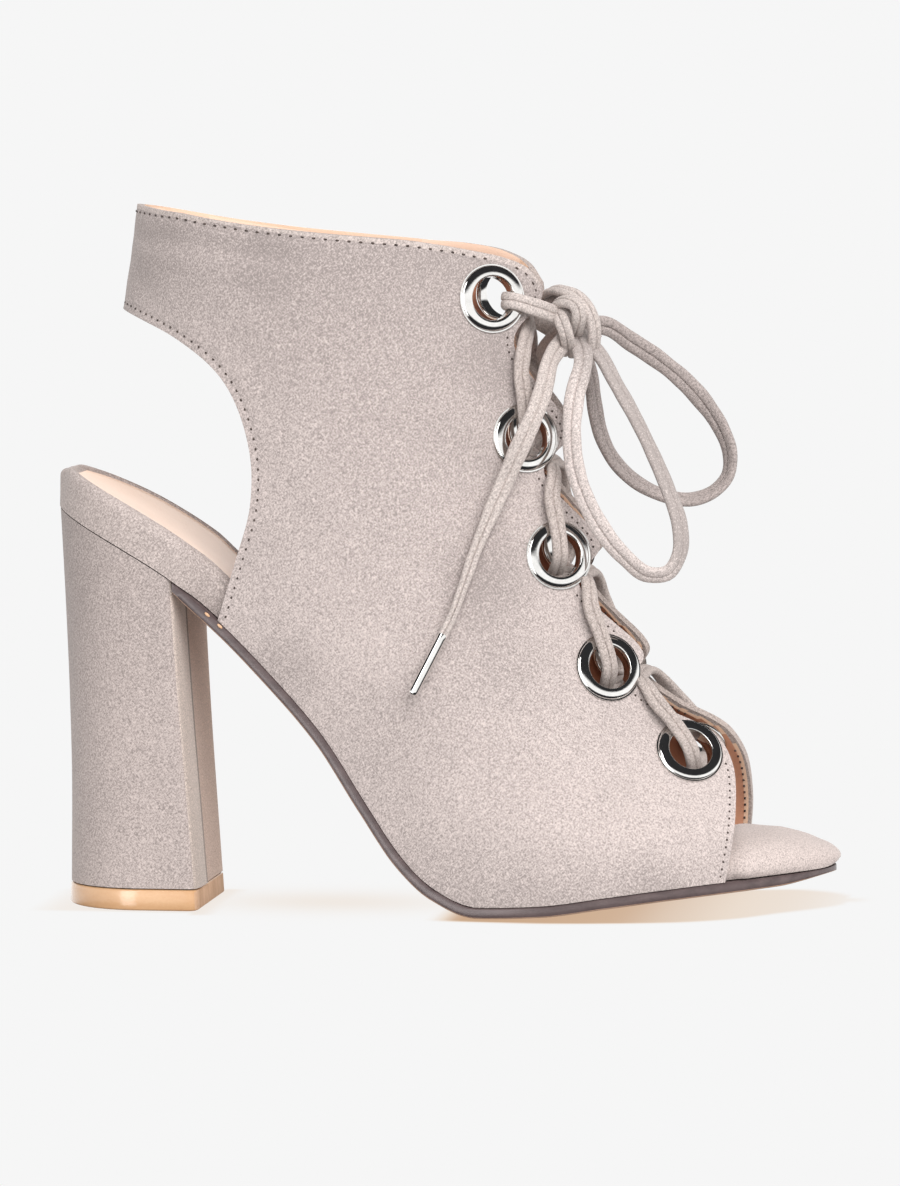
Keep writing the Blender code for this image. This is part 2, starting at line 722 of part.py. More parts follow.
def build_eyelet_cutters(upper, group):
    for number in range(len(EYELETS)):
        for side_name, side in SIDES:
            shape = bmesh.new()
            bmesh.ops.create_cone(shape, cap_ends=True, segments=EYELET_STEPS, depth=HOLE_CUTTER_DEPTH * MM,
                                  radius1=HOLE_RADIUS * MM, radius2=HOLE_RADIUS * MM)
            mesh = bpy.data.meshes.new("eyelet_cutter")
            shape.to_mesh(mesh)
            shape.free()
            cutter = bpy.data.objects.new(f"eyelet_cutter_{side_name}_{number + 1}", mesh)
            cutter.matrix_world = eyelet_frame(upper, number, side)
            cutter.hide_render = True
            cutter.display_type = "WIRE"
            group.objects.link(cutter)


def build_eyelets(upper, material, group):
    """Turned metal eyelets: domed ring outside, barrel through the wall, washer inside."""
    inside = -UPPER_WALL - EYELET_GAP
    crest = (EYELET_HOLE + EYELET_BARREL) / 2 + EYELET_BEVEL
    profile = (
        (EYELET_HOLE, EYELET_HEIGHT - EYELET_BEVEL), (crest, EYELET_HEIGHT), (EYELET_FLANGE, EYELET_GAP),
        (EYELET_BARREL, EYELET_GAP), (EYELET_BARREL, inside), (WASHER_RADIUS, inside),
        (WASHER_RADIUS, inside - WASHER_THICKNESS), (EYELET_HOLE, inside - WASHER_THICKNESS),
    )
    for number in range(len(EYELETS)):
        for side_name, side in SIDES:
            name = f"eyelet_{side_name}_{number + 1}"
            shape = bmesh.new()
            corners = [shape.verts.new((radius * MM, 0.0, height * MM)) for radius, height in profile]
            for first, second in zip(corners, corners[1:] + corners[:1]):
                shape.edges.new((first, second))
            mesh = bpy.data.meshes.new(name)
            shape.to_mesh(mesh)
            shape.free()
            ring = mesh_object(name, mesh, material, group)
            ring.matrix_world = eyelet_frame(upper, number, side)
            turn = ring.modifiers.new("turn", "SCREW")
            turn.axis = "Z"
            turn.steps = EYELET_STEPS
            turn.render_steps = EYELET_STEPS
            turn.use_merge_vertices = True
            turn.merge_threshold = WELD
            turn.use_smooth_shade = True


def smooth_route(points, spacing):
    """Evenly spaced points on a smooth curve through a route."""
    curve = EdgeCurve(points)
    count = max(round(curve.along[-1] / spacing), 4)
    return [curve(i / count) for i in range(count + 1)]


def lace_curve(name, places, diameter):
    """Round tube with closed ends along a route of x, y, z places."""
    data = bpy.data.curves.new(name, "CURVE")
    data.dimensions = "3D"
    data.bevel_depth = diameter * MM / 2
    data.bevel_resolution = 2
    data.use_fill_caps = True
    data.resolution_u = 1
    data.render_resolution_u = 0
    line = data.splines.new("POLY")
    line.points.add(len(places) - 1)
    for point, place in zip(line.points, places):
        point.co = (*world(*place), 1.0)
    return bpy.data.objects.new(name, data)


def build_cord(name, places, material, group, diameter=LACE_DIAMETER):
    cord = lace_curve(name, places, diameter)
    cord.data.materials.append(material)
    group.objects.link(cord)
    return cord


def mesh_from_curve(curve_object, group):
    """Closed mesh object in place of a curve object."""
    group.objects.link(curve_object)
    bpy.context.view_layer.update()
    depsgraph = bpy.context.evaluated_depsgraph_get()
    mesh = bpy.data.meshes.new_from_object(curve_object.evaluated_get(depsgraph))
    shape = bmesh.new()
    shape.from_mesh(mesh)
    bmesh.ops.remove_doubles(shape, verts=shape.verts, dist=WELD)
    bmesh.ops.recalc_face_normals(shape, faces=shape.faces)
    shape.to_mesh(mesh)
    shape.free()
    name = curve_object.name
    bpy.data.objects.remove(curve_object, do_unlink=True)
    thing = bpy.data.objects.new(name, mesh)
    group.objects.link(thing)
    return thing


def strand(upper, row, side):
    """One lace strand: out of an eyelet's inside, across the throat, over the notch, into the next eyelet."""
    radius = LACE_DIAMETER / 2
    start, finish = np.array(EYELETS[row]), np.array(EYELETS[row + 1])
    notch_share = upper.notch_share(row)
    notch, forward = upper.edge(notch_share), -upper.inward(notch_share)
    leave = upper.lifted(start, -side, -UPPER_WALL - STRAND_INSIDE * radius)
    over = upper.lifted(notch + forward * (radius + EDGE_CLEAR), side, STRAND_OVER_EDGE)
    share = abs(leave[1]) / (abs(leave[1]) + abs(over[1]))
    cross = leave + (over - leave) * share
    cross[1] = 0.0
    lie = upper.lifted(notch + (finish - notch) * STRAND_LIE_SHARE, side, EYELET_HEIGHT + radius + GAP)
    rim = upper.lifted(notch + (finish - notch) * STRAND_RIM_SHARE, side, EYELET_HEIGHT + radius + 2 * GAP)
    points = [upper.lifted(start, -side, -2 * GAP), leave, cross, over, lie, rim,
              upper.lifted(finish, side, STRAND_INSIDE * radius), upper.lifted(finish, side, 0.0)]
    return [np.array((x, y + middle(x), z)) for x, y, z in points]


def build_crossings(upper, material, group, helpers):
    """Both strands of each row, joined where they cross, and the bar inside the lowest eyelets."""
    for row in range(len(EYELETS) - 1):
        name = f"lace_crossing_{row + 1}"
        pair = []
        for side_name, side in SIDES:
            places = smooth_route(strand(upper, row, side), STRAND_SPACING)
            pair.append(mesh_from_curve(lace_curve(f"{name}_{side_name}", places, LACE_DIAMETER), helpers))
        mesh = pair[0].data.copy()
        crossing = mesh_object(name, mesh, material, group)
        join = crossing.modifiers.new("join", "BOOLEAN")
        join.operation = "UNION"
        join.object = pair[1]
        join.solver = "EXACT"
        bpy.data.objects.remove(pair[0], do_unlink=True)
        pair[1].hide_render = True
        pair[1].display_type = "WIRE"
    last = EYELETS[-1]
    inside = -UPPER_WALL - STRAND_INSIDE * LACE_DIAMETER / 2
    half_bar = [upper.lifted(last, -1, -2 * GAP), upper.lifted(last, -1, inside)]
    bar = half_bar + [place * (1, -1, 1) for place in reversed(half_bar)]
    places = smooth_route([np.array((x, y + middle(x), z)) for x, y, z in bar], STRAND_SPACING)
    build_cord("lace_bar", places, material, group)


def knot_exit(toward):
    """Two places straight out of the knot, on the way towards a point."""
    way = np.array(toward) - np.array(KNOT_CENTRE)
    way /= np.linalg.norm(way)
    reach = 1 / np.linalg.norm(way / np.array(KNOT_RADII))
    return [np.array(KNOT_CENTRE) + way * (reach + out) for out in (2 * GAP, LACE_DIAMETER / 2)]


def build_bow(upper, lace, metal, group):
    """Knot, its two leads from the top eyelets, two loops and two ends with their aglets."""
    shape = bmesh.new()
    bmesh.ops.create_uvsphere(shape, u_segments=KNOT_SEGMENTS, v_segments=KNOT_RINGS, radius=1.0)
    bmesh.ops.scale(shape, vec=Vector(KNOT_RADII) * MM, verts=shape.verts)
    bmesh.ops.translate(shape, vec=world(*KNOT_CENTRE), verts=shape.verts)
    mesh = bpy.data.meshes.new("lace_knot")
    shape.to_mesh(mesh)
    shape.free()
    mesh_object("lace_knot", mesh, lace, group)
    for name, route in (("lace_loop_front", LOOP_FRONT), ("lace_loop_back", LOOP_BACK)):
        route = [*knot_exit(route[0]), *route, *reversed(knot_exit(route[-1]))]
        build_cord(name, smooth_route(route, LACE_SPACING), lace, group)
    for side_name, side in SIDES:
        over_ring = EYELET_HEIGHT + LACE_DIAMETER / 2 + 2 * GAP
        lead = [upper.lifted(EYELETS[0], side, lift) for lift in (0.0, over_ring)]
        lead += [upper.lifted(place, side, over_ring) for place in LEAD_OVER_RING]
        lead = [np.array((x, y + middle(x), z)) for x, y, z in lead]
        lead += reversed(knot_exit(lead[-1]))
        build_cord(f"lace_lead_{side_name}", smooth_route(lead, STRAND_SPACING), lace, group)
        end = [np.array((x, middle(x) - side * (y - middle(x)), z)) for x, y, z in END_OUTER]
        end = smooth_route([*knot_exit(end[0]), *end], LACE_SPACING)
        build_cord(f"lace_end_{side_name}", end, lace, group)
        way = (end[-1] - end[-2]) / np.linalg.norm(end[-1] - end[-2])
        aglet = [end[-1] + way * GAP, end[-1] + way * (GAP + AGLET_LENGTH)]
        build_cord(f"aglet_{side_name}", aglet, metal, group, AGLET_DIAMETER)


def build_upper(upper, material, group, cutters):
    """Both sides of the upper in one skin, given its wall, with the eyelet holes cut."""
    shape = bmesh.new()
    for _, side in SIDES:
        rows = []
        for share in upper.rows:
            points = upper.row(share)
            rows.append([shape.verts.new(world(x, middle(x) + side * half, z)) for x, half, z in points])
        for first, second in zip(rows, rows[1:]):
            shared = min(len(first), len(second))
            first, second = first[-shared:], second[-shared:]
            for i in range(shared - 1):
                shape.faces.new((first[i], first[i + 1], second[i + 1], second[i]))
    bmesh.ops.remove_doubles(shape, verts=shape.verts, dist=WELD)
    bmesh.ops.recalc_face_normals(shape, faces=shape.faces)
    mesh = bpy.data.meshes.new("upper")
    shape.to_mesh(mesh)
    shape.free()
    if sum(face.normal.y * face.center.y * face.area for face in mesh.polygons) < 0:
        mesh.flip_normals()
    shell = mesh_object("upper", mesh, material, group)
    solidify(shell, UPPER_WALL, -1)
    holes = shell.modifiers.new("eyelet_holes", "BOOLEAN")
    holes.operand_type = "COLLECTION"
    holes.collection = cutters
    holes.solver = "EXACT"
    return shell


def main():
    clear_scene()
    parts = new_collection("lace_up_open_toe_boot")
    cutters = new_collection("eyelet_cutters")
    helpers = new_collection("lace_cutters")
    suede = principled("greige_suede", (0.55, 0.49, 0.46), 0.95)
    sole_brown = principled("sole_brown", (0.10, 0.075, 0.075), 0.45)
    lining = principled("peach_lining", (0.80, 0.55, 0.40), 0.5)
    lift_tan = principled("lift_tan", (0.75, 0.45, 0.25), 0.3)
    nickel = principled("nickel", (0.75, 0.74, 0.72), 0.15, 1.0)
    lace = principled("greige_lace", (0.42, 0.37, 0.34), 0.9)
    upper = Upper()
    build_outsole(sole_brown, parts)
    build_footbed(suede, parts)
    build_sock(lining, parts)
    build_heel(suede, parts)
    build_lift(lift_tan, parts)
    build_eyelet_cutters(upper, cutters)
    build_upper(upper, suede, parts, cutters)
    build_eyelets(upper, nickel, parts)
    build_crossings(upper, lace, parts, helpers)
    build_bow(upper, lace, nickel, parts)


main()
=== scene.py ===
"""Looks of an open-toe lace-up ankle boot: suede, lining, stitches, metal and lace over the solids.

Sizes are millimetres; MM turns them into metres when a mesh is made. Station x runs from the back of
the heel seat (0) to the tip of the toe (LENGTH), z is the height over the floor, and y is positive on
the inner side of the foot. The tables of the sole, the upper and the lace follow those of the solids,
and a few of their sizes are nudged towards the photo.
"""
import json
import math
from collections import namedtuple

import bmesh
import bpy
import numpy as np
from mathutils import Matrix, Vector
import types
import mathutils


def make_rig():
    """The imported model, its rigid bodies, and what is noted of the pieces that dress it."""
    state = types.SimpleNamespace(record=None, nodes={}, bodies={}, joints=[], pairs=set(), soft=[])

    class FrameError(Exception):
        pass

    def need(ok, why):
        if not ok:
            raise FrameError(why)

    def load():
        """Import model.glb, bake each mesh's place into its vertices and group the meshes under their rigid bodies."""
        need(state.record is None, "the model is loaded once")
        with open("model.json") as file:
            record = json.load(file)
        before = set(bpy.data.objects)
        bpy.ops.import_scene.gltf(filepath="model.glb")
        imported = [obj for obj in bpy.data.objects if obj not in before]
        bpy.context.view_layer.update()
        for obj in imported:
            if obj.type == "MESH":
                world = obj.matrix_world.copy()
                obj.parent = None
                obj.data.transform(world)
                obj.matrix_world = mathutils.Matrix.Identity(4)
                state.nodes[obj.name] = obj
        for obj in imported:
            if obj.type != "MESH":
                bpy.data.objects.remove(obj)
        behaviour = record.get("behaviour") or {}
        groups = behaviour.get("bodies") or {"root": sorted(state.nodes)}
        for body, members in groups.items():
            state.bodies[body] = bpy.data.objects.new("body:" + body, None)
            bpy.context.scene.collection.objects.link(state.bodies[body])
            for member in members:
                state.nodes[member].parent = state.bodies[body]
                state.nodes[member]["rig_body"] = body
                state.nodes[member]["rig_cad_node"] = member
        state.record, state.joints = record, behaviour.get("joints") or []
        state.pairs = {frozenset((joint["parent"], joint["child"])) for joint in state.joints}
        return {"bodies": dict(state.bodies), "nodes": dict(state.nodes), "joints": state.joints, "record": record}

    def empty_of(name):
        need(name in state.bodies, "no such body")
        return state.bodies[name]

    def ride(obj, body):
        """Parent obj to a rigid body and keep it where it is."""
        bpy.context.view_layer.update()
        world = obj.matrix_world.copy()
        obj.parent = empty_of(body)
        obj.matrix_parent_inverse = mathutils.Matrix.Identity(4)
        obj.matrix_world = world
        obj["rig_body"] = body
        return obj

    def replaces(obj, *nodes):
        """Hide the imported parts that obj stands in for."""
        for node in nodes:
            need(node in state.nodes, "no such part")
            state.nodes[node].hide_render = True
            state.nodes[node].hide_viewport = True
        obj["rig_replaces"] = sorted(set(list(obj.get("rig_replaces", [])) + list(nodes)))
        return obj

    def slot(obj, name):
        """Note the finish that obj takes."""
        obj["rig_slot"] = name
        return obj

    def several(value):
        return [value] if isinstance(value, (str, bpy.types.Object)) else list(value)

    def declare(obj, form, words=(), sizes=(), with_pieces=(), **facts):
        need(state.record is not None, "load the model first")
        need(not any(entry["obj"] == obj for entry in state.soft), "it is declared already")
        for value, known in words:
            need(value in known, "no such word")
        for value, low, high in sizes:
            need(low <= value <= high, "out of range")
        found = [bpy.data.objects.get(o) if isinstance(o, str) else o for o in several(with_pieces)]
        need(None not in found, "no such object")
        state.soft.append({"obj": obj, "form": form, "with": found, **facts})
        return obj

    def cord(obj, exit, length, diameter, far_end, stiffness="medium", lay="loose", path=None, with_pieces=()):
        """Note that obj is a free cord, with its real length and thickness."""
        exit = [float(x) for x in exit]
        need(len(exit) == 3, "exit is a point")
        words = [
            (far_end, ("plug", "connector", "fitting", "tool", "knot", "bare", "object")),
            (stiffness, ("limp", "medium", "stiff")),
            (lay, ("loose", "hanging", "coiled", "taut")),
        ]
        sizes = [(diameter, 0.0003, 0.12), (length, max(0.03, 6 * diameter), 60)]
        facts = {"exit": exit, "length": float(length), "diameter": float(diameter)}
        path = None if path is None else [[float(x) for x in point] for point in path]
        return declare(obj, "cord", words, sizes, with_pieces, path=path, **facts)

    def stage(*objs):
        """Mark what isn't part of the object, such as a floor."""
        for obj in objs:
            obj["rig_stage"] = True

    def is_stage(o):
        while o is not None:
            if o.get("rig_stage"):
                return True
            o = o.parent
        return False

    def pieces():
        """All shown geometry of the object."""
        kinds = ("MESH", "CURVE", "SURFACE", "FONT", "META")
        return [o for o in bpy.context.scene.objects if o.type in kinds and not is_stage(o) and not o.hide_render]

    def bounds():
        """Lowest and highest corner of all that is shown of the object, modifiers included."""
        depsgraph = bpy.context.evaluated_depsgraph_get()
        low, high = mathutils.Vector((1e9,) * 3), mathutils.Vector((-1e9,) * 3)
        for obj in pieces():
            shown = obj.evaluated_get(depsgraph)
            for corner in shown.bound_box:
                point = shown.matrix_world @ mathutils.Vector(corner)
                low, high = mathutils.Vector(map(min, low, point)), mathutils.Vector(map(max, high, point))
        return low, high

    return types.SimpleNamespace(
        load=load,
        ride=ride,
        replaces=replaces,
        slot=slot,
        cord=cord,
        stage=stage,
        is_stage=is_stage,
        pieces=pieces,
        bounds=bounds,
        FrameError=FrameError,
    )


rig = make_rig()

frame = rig.load()
CAD_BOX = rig.bounds()

MM = 0.001
BODY_NAME = "root"


def rows_of(row_type, *rows):
    """Table whose rows have the named columns of a row type."""
    return tuple(row_type(*row) for row in rows)


# Camera: the photo's view of the shoe's outer side, turned a little towards the toe
CAMERA_AIM = (0.0, 0.0, 0.084)
CAMERA_YAW = 7.5
CAMERA_RISE = 4.26
CAMERA_DISTANCE = 1.9
CAMERA_LENS = 216.3
CAMERA_SENSOR = 36.0
CAMERA_CLIP_END = 200.0

# Stage: pale surroundings, a glowing floor with a soft shadow near the shoe, walls for shiny pieces, lights
PALE = 0.9217
FLOOR_HALF = 30.0
# Painted floor shadow: its mid and deepest colour, warm near the sole where it also stands for the tan sole's
# reflection
SHADOW_MID = (0.83, 0.72, 0.62)
SHADOW_DEEP = (0.60, 0.40, 0.26)
SHADOW_STEP = 2.0
SHADOW_MARGIN = 40.0
MIRRORED_PALE = (1.2, 1.2, 1.2)
MIRRORED_DARK = (0.03, 0.03, 0.032)
WHITE_WALL_TOP = 0.24
DARK_FROM = 0.36
KEY_FROM = (0.36, -0.75, 0.55)
KEY_STRENGTH = 3.1
KEY_ANGLE = 45.0
STRIP_FROM = (-0.75, -1.4, 0.25)
STRIP_STRENGTH = 24.0
STRIP_SIZE = (0.6, 2.4)

# Sole
LENGTH = 209.6
SOLE_WIDEST = 41.0
SOLE_THICKNESS = 3.0
SOLE_BAND = 2.4
SOLE_ROLL = 4.0
SOLE_TOE_SHORT = 1.6
SOLE_END_RUN = 8.0
SOLE_TIP_RUN = 16.0
SOLE_TIP_THIN = 0.55
SOLE_EDGE_CUT = 0.3
BELLY_SHARES = (0.85, 0.7, 0.35, 0.0)
TREAD_FACING = -0.12
GAP = 0.3
HEEL_ROUND = 24.0
TOE_ROUND = 37.0
TOE_POWER = 2.1
SoleStation = namedtuple("SoleStation", "x feather middle half_width")
SOLE = rows_of(
    SoleStation,
    (0.0, 106.5, 2.4, 25.0),
    (21.0, 95.9, 2.2, 26.4),
    (34.0, 87.9, 1.8, 27.1),
    (47.0, 77.3, 1.2, 27.4),
    (60.0, 64.4, 0.5, 27.6),
    (75.0, 47.6, -0.2, 28.6),
    (87.0, 29.8, -0.5, 31.0),
    (97.5, 15.5, -0.5, 34.5),
    (106.0, 8.3, -0.4, 37.2),
    (117.0, 4.2, -0.2, 39.5),
    (134.0, 4.9, 0.0, 41.0),
    (150.0, 7.0, 0.5, 39.6),
    (166.0, 9.0, 1.5, 36.6),
    (181.0, 10.5, 2.8, 32.4),
    (196.0, 11.6, 4.0, 27.6),
    (LENGTH, 12.3, 5.0, 23.0),
)

# How far the middle of the sole's underside hangs below its edge
BellyStation = namedtuple("BellyStation", "x belly")
SOLE_BELLY = rows_of(
    BellyStation,
    (34.0, 0.2),
    (75.0, 0.3),
    (97.5, 0.9),
    (117.0, 1.05),
    (134.0, 1.75),
    (150.0, 1.5),
    (166.0, 0.7),
    (181.0, 0.3),
    (LENGTH, 0.2),
)

# Floor's shadow at each station: depth, reach out of the outline, shift aside; the arch's cast shadow
ShadowStation = namedtuple("ShadowStation", "x depth reach aside")
SHADOW = rows_of(
    ShadowStation,
    (-6.0, 0.0, 3.0, 0.0),
    (4.0, 0.20, 3.0, 0.0),
    (40.0, 0.28, 3.0, 0.0),
    (48.0, 0.0, 3.0, 0.0),
    (102.0, 0.0, 2.0, 6.0),
    (112.0, 1.0, 2.0, 7.0),
    (150.0, 0.92, 2.0, 7.5),
    (166.0, 0.68, 2.5, 8.0),
    (183.0, 0.48, 3.0, 12.0),
    (195.0, 0.40, 4.0, 20.0),
    (209.0, 0.20, 5.0, 23.0),
    (216.0, 0.0, 5.0, 23.0),
)
CAST_CENTRE = (72.0, 6.0)
CAST_REACH = (34.0, 24.0)
CAST_DEPTH = 0.26

# Specks of glue on the sole's outer edge
GlueSpeck = namedtuple("GlueSpeck", "x up")
GLUE_SPECKS = rows_of(
    GlueSpeck,
    (44.0, -0.5),
    (47.4, -0.5),
)
GLUE_SIZE = (0.9, 0.35, 0.4)

# Footbed and the sock in its recess
FootbedStation = namedtuple("FootbedStation", "x height lean crown recess inset")
FOOTBED = rows_of(
    FootbedStation,
    (0.0, 11.6, 0.35, -0.8, 1.5, -0.6),
    (35.0, 11.3, 0.4, -0.8, 1.5, 0.1),
    (41.0, 10.9, 0.45, -0.7, 1.5, 3.2),
    (48.0, 9.8, 0.6, -0.5, 1.5, 3.2),
    (66.0, 4.6, 1.0, 0.0, 1.5, 3.2),
    (150.0, 4.2, 1.0, 0.4, 1.5, 3.2),
    (162.0, 4.2, 1.0, 2.4, 0.0, 3.8),
    (182.0, 5.0, 1.0, 6.8, 0.0, 3.8),
    (187.0, 5.4, 1.0, 5.7, 0.0, 1.4),
    (193.0, 5.4, 1.0, 5.0, 0.0, 1.0),
    (200.0, 5.3, 1.0, 4.7, 0.0, 0.6),
    (LENGTH, 4.6, 1.0, 1.8, 0.0, 0.3),
)
FOOTBED_EDGE_ROUND = 2.6
FOOTBED_EDGE_DROP = 4.0
FOOTBED_LIP_SHARE = 0.8
CUSHION_START = 170.0
CUSHION_FULL = 186.0
CUSHION_ROUND = 7.0
CUSHION_BELLY = 2.2
CUSHION_NOSE = 4.5
CUSHION_POWER = 2.4
CUSHION_TUCK = 1.2
CUSHION_TUCK_MID = 0.35
RIM_LEAST = 0.4
RIM_SWELL = 0.15
RIM_EDGE = 0.3
BED_SHARES = (0.985, 0.9, 0.75, 0.5, 0.25, 0.0)
CROWN_RUN = 16.0
HEEL_SEAT_RUN = 3.2
HEEL_SEAT_DROP = 4.0
SOCK_RIM = 2.2
SOCK_THICKNESS = 1.0
SOCK_BACK = 2.8
SOCK_FRONT = 148.0
SOCK_FIT = 0.975
SOCK_STEPS = 10
SOCK_EDGE_THIN = 0.35
SOCK_EDGE_POWER = 8

# Block heel, with the overlap of its cover down the breast
HeelLevel = namedtuple("HeelLevel", "share back breast half straight")
HEEL = rows_of(
    HeelLevel,
    (0.0, 2.2, 39.6, 23.0, 0.42),
    (0.25, 2.4, 38.0, 23.8, 0.40),
    (0.5, 1.9, 36.4, 24.7, 0.36),
    (0.75, 0.9, 35.0, 25.7, 0.32),
    (1.0, -0.4, 33.8, 26.8, 0.29),
)
ORIGIN_STATION = 104.95
HEEL_CORNER = 2.4
FLAT_FACING = 0.7
LIFT_THICKNESS = 5.6
LiftLevel = namedtuple("LiftLevel", "height size")
LIFT_LEVELS = rows_of(
    LiftLevel,
    (0.0, 0.985),
    (0.2, 1.008),
    (0.5, 1.018),
    (5.1, 1.004),
    (5.4, 0.998),
    (LIFT_THICKNESS, 0.98),
)
BREAST_SEAM = -0.26
BREAST_OVERLAP = 0.45
BREAST_GROOVE = 0.5
BREAST_GROOVE_WIDTH = 0.02
BREAST_STEP_RUN = 0.008
# Reach of the painted shadow along the seam's groove, in shares of the half width
BREAST_SHADOW_REACH = 0.11
BREAST_EDGE = 0.8
BREAST_SHARES = (
    0.8, 0.6, 0.4, 0.2, 0.0, -0.14, -0.2, -0.225, -0.24, -0.25, -0.26,
    -0.27, -0.28, -0.285, -0.29, -0.3, -0.32, -0.4, -0.55, -0.7, -0.85,
)

# Upper: outer skin edges, half = distance from the middle line
UPPER_WALL = 1.8
# Slots of the upper's materials: suede, lining, turned edge painted darker as shade, bead, and the band along the
# collar painted lighter where its roll catches the light
LINING_SIDE, EDGE_SIDE, BEAD_SIDE, LIT_ROLL_SIDE = 1, 2, 3, 4
UPPER_INSET = 0.35
UPPER_FOOT_GAP = 0.2
UPPER_EDGE_ROUND = 0.55
UPPER_EDGE_STEPS = 3
UPPER_EDGE_ANGLE = 55.0
SMOOTH_ANGLE = 50.0
EdgePoint = namedtuple("EdgePoint", "x z half")
COLLAR = rows_of(
    EdgePoint,
    (20.5, 187.4, 0.0),
    (25.6, 186.4, 12.0),
    (35.8, 184.2, 21.5),
    (55.7, 181.2, 28.2),
    (77.2, 179.0, 29.4),
    (95.6, 177.5, 25.8),
    (110.9, 175.9, 19.2),
    (120.8, 173.9, 13.8),
    (127.2, 170.8, 10.2),
    (130.6, 166.4, 8.4),
)
STRAP_BACK = rows_of(
    EdgePoint,
    (20.5, 187.4, 0.0),
    (19.7, 181.0, 0.0),
    (18.8, 174.0, 0.0),
    (17.7, 167.0, 0.0),
    (16.6, 159.6, 0.0),
)
HEEL_CUT_OUT = rows_of(
    EdgePoint,
    (16.6, 159.6, 0.0),
    (22.6, 157.4, 12.6),
    (34.5, 152.3, 22.6),
    (48.0, 141.6, 28.2),
    (55.0, 125.4, 29.8),
    (55.5, 108.6, 29.0),
    (51.4, 94.0, 27.8),
)
UPPER_BACK_CORNER = 46.4
THROAT = rows_of(
    EdgePoint,
    (130.6, 166.4, 8.4),
    (132.2, 160.0, 7.6),
    (138.0, 127.4, 10.4),
    (146.8, 97.0, 12.2),
    (159.8, 66.6, 14.0),
    (170.4, 52.8, 15.0),
    (178.6, 47.2, 16.2),
    (182.2, 40.8, 19.2),
    (183.6, 30.0, 25.4),
    (183.0, 20.0, 29.6),
)
TOE_OPENING_FOOT = 181.4
BODY = rows_of(
    EdgePoint,
    (75.0, 140.0, 30.0),
    (75.0, 100.0, 30.6),
    (76.0, 70.0, 30.0),
    (104.0, 150.0, 23.8),
    (105.0, 120.0, 26.0),
    (105.0, 85.0, 30.4),
    (105.0, 45.0, 35.2),
    (130.0, 85.0, 23.4),
    (130.0, 55.0, 32.2),
    (130.0, 25.0, 39.6),
    (156.0, 46.0, 26.4),
    (156.0, 28.0, 35.0),
    (172.0, 30.0, 29.6),
)
SKIN_FOOT_ROWS = 12
STRAP_LOBE = 3
COLLAR_SPLIT = 0.34
CUT_OUT_SPLIT = 0.37
STRAP_PLAIN = 9.0
STRAP_ROUND = 5.0
STRAP_ROUND_RUN = 3.0
TURNED_EDGE = 0.85
COLLAR_TURNED_RUN = (122.0, 127.0)
# Width of the outer band along the collar painted lighter, where its roll catches the light
COLLAR_ROLL_LIT = 0.95
BEAD = 0.6
COLLAR_FALL = 0.125
COLLAR_LIFT_FROM = 172.0
COLLAR_LIFT_FULL = 186.0
CollarLift = namedtuple("CollarLift", "x outer inner")
COLLAR_LIFTS = rows_of(
    CollarLift,
    (21.0, 0.0, 0.0),
    (28.0, 0.35, 0.0),
    (37.0, 1.1, 0.0),
    (96.0, 1.1, 0.0),
    (107.0, 0.5, 0.4),
    (118.0, 0.0, 0.7),
    (132.0, 0.0, 0.5),
)
# Where the lining is painted lighter: a band along the collar, and towards the open toe
COLLAR_LIT_BAND = (160.0, 172.0)
TOE_LIGHT = (164.0, 180.0)
FOOT_CURVE_POINTS = 30
INNER_BACK = 1.6
INNER_BACK_FROM = (95.0, 45.0)
INNER_BACK_FULL = (128.0, 75.0)
THROAT_SAMPLES = 401

# Soft troughs (depth below 0) and ridges of the upper, each along a line of the side view
Crease = namedtuple("Crease", "x0 z0 x1 z1 width depth")
CREASES = rows_of(
    Crease,
    (21.0, 178.6, 66.0, 173.2, 2.6, -0.55),
    (23.0, 174.6, 60.0, 169.6, 3.0, 0.30),
    (19.0, 172.0, 27.0, 162.0, 3.4, -0.50),
    (44.0, 158.0, 60.0, 143.0, 4.5, -0.40),
    (60.0, 118.0, 74.0, 96.0, 6.0, -0.45),
    (88.0, 132.0, 118.0, 112.0, 6.0, -0.45),
    (96.0, 108.0, 124.0, 90.0, 6.5, 0.40),
    (84.0, 58.0, 112.0, 40.0, 7.0, -0.45),
    (118.0, 44.0, 150.0, 26.0, 6.0, -0.50),
    (134.0, 50.0, 162.0, 34.0, 5.0, 0.35),
    (160.0, 24.0, 178.0, 18.0, 4.0, -0.40),
)

# Tone darker or lighter towards a direction, in metres along it
Shade = namedtuple("Shade", "way start end weight")
# Painted light and shade on the upper: darker towards the collar, next to the sole and at the back, lighter towards
# the toe
UPPER_SHADES = rows_of(
    Shade,
    ((0.0, 0.0, 1.0), 0.100, 0.180, -0.08),
    ((0.0, 0.0, -1.0), -0.024, -0.008, -0.07),
    ((1.0, 0.0, 0.0), 0.0, 0.06, 0.025),
    ((-1.0, 0.0, 0.0), 0.06, 0.09, -0.01),
)
# Painted shade on the heel's cover: darker towards its top and its back
HEEL_SHADES = rows_of(
    Shade,
    ((0.0, 0.0, 1.0), 0.055, 0.105, -0.04),
    ((-1.0, 0.0, 0.0), 0.09, 0.104, -0.03),
)
# Strip and panel of the heel's breast darker towards the bottom
BREAST_SHADES = (Shade((0.0, 0.0, -1.0), -0.085, -0.008, -0.09),)
# Painted light and shade on the footbed: lighter on the open toe cushion, darker behind it down to the heel seat
FOOTBED_SHADES = rows_of(
    Shade,
    ((1.0, 0.0, 0.0), 0.05, 0.08, 0.045),
    ((-1.0, 0.0, 0.0), -0.08, -0.05, -0.057),
)
# Painted shade on the front loop's right strand
LOOP_SHADES = (Shade((0.9, 0.0, 0.44), 0.0935, 0.1005, -0.15),)

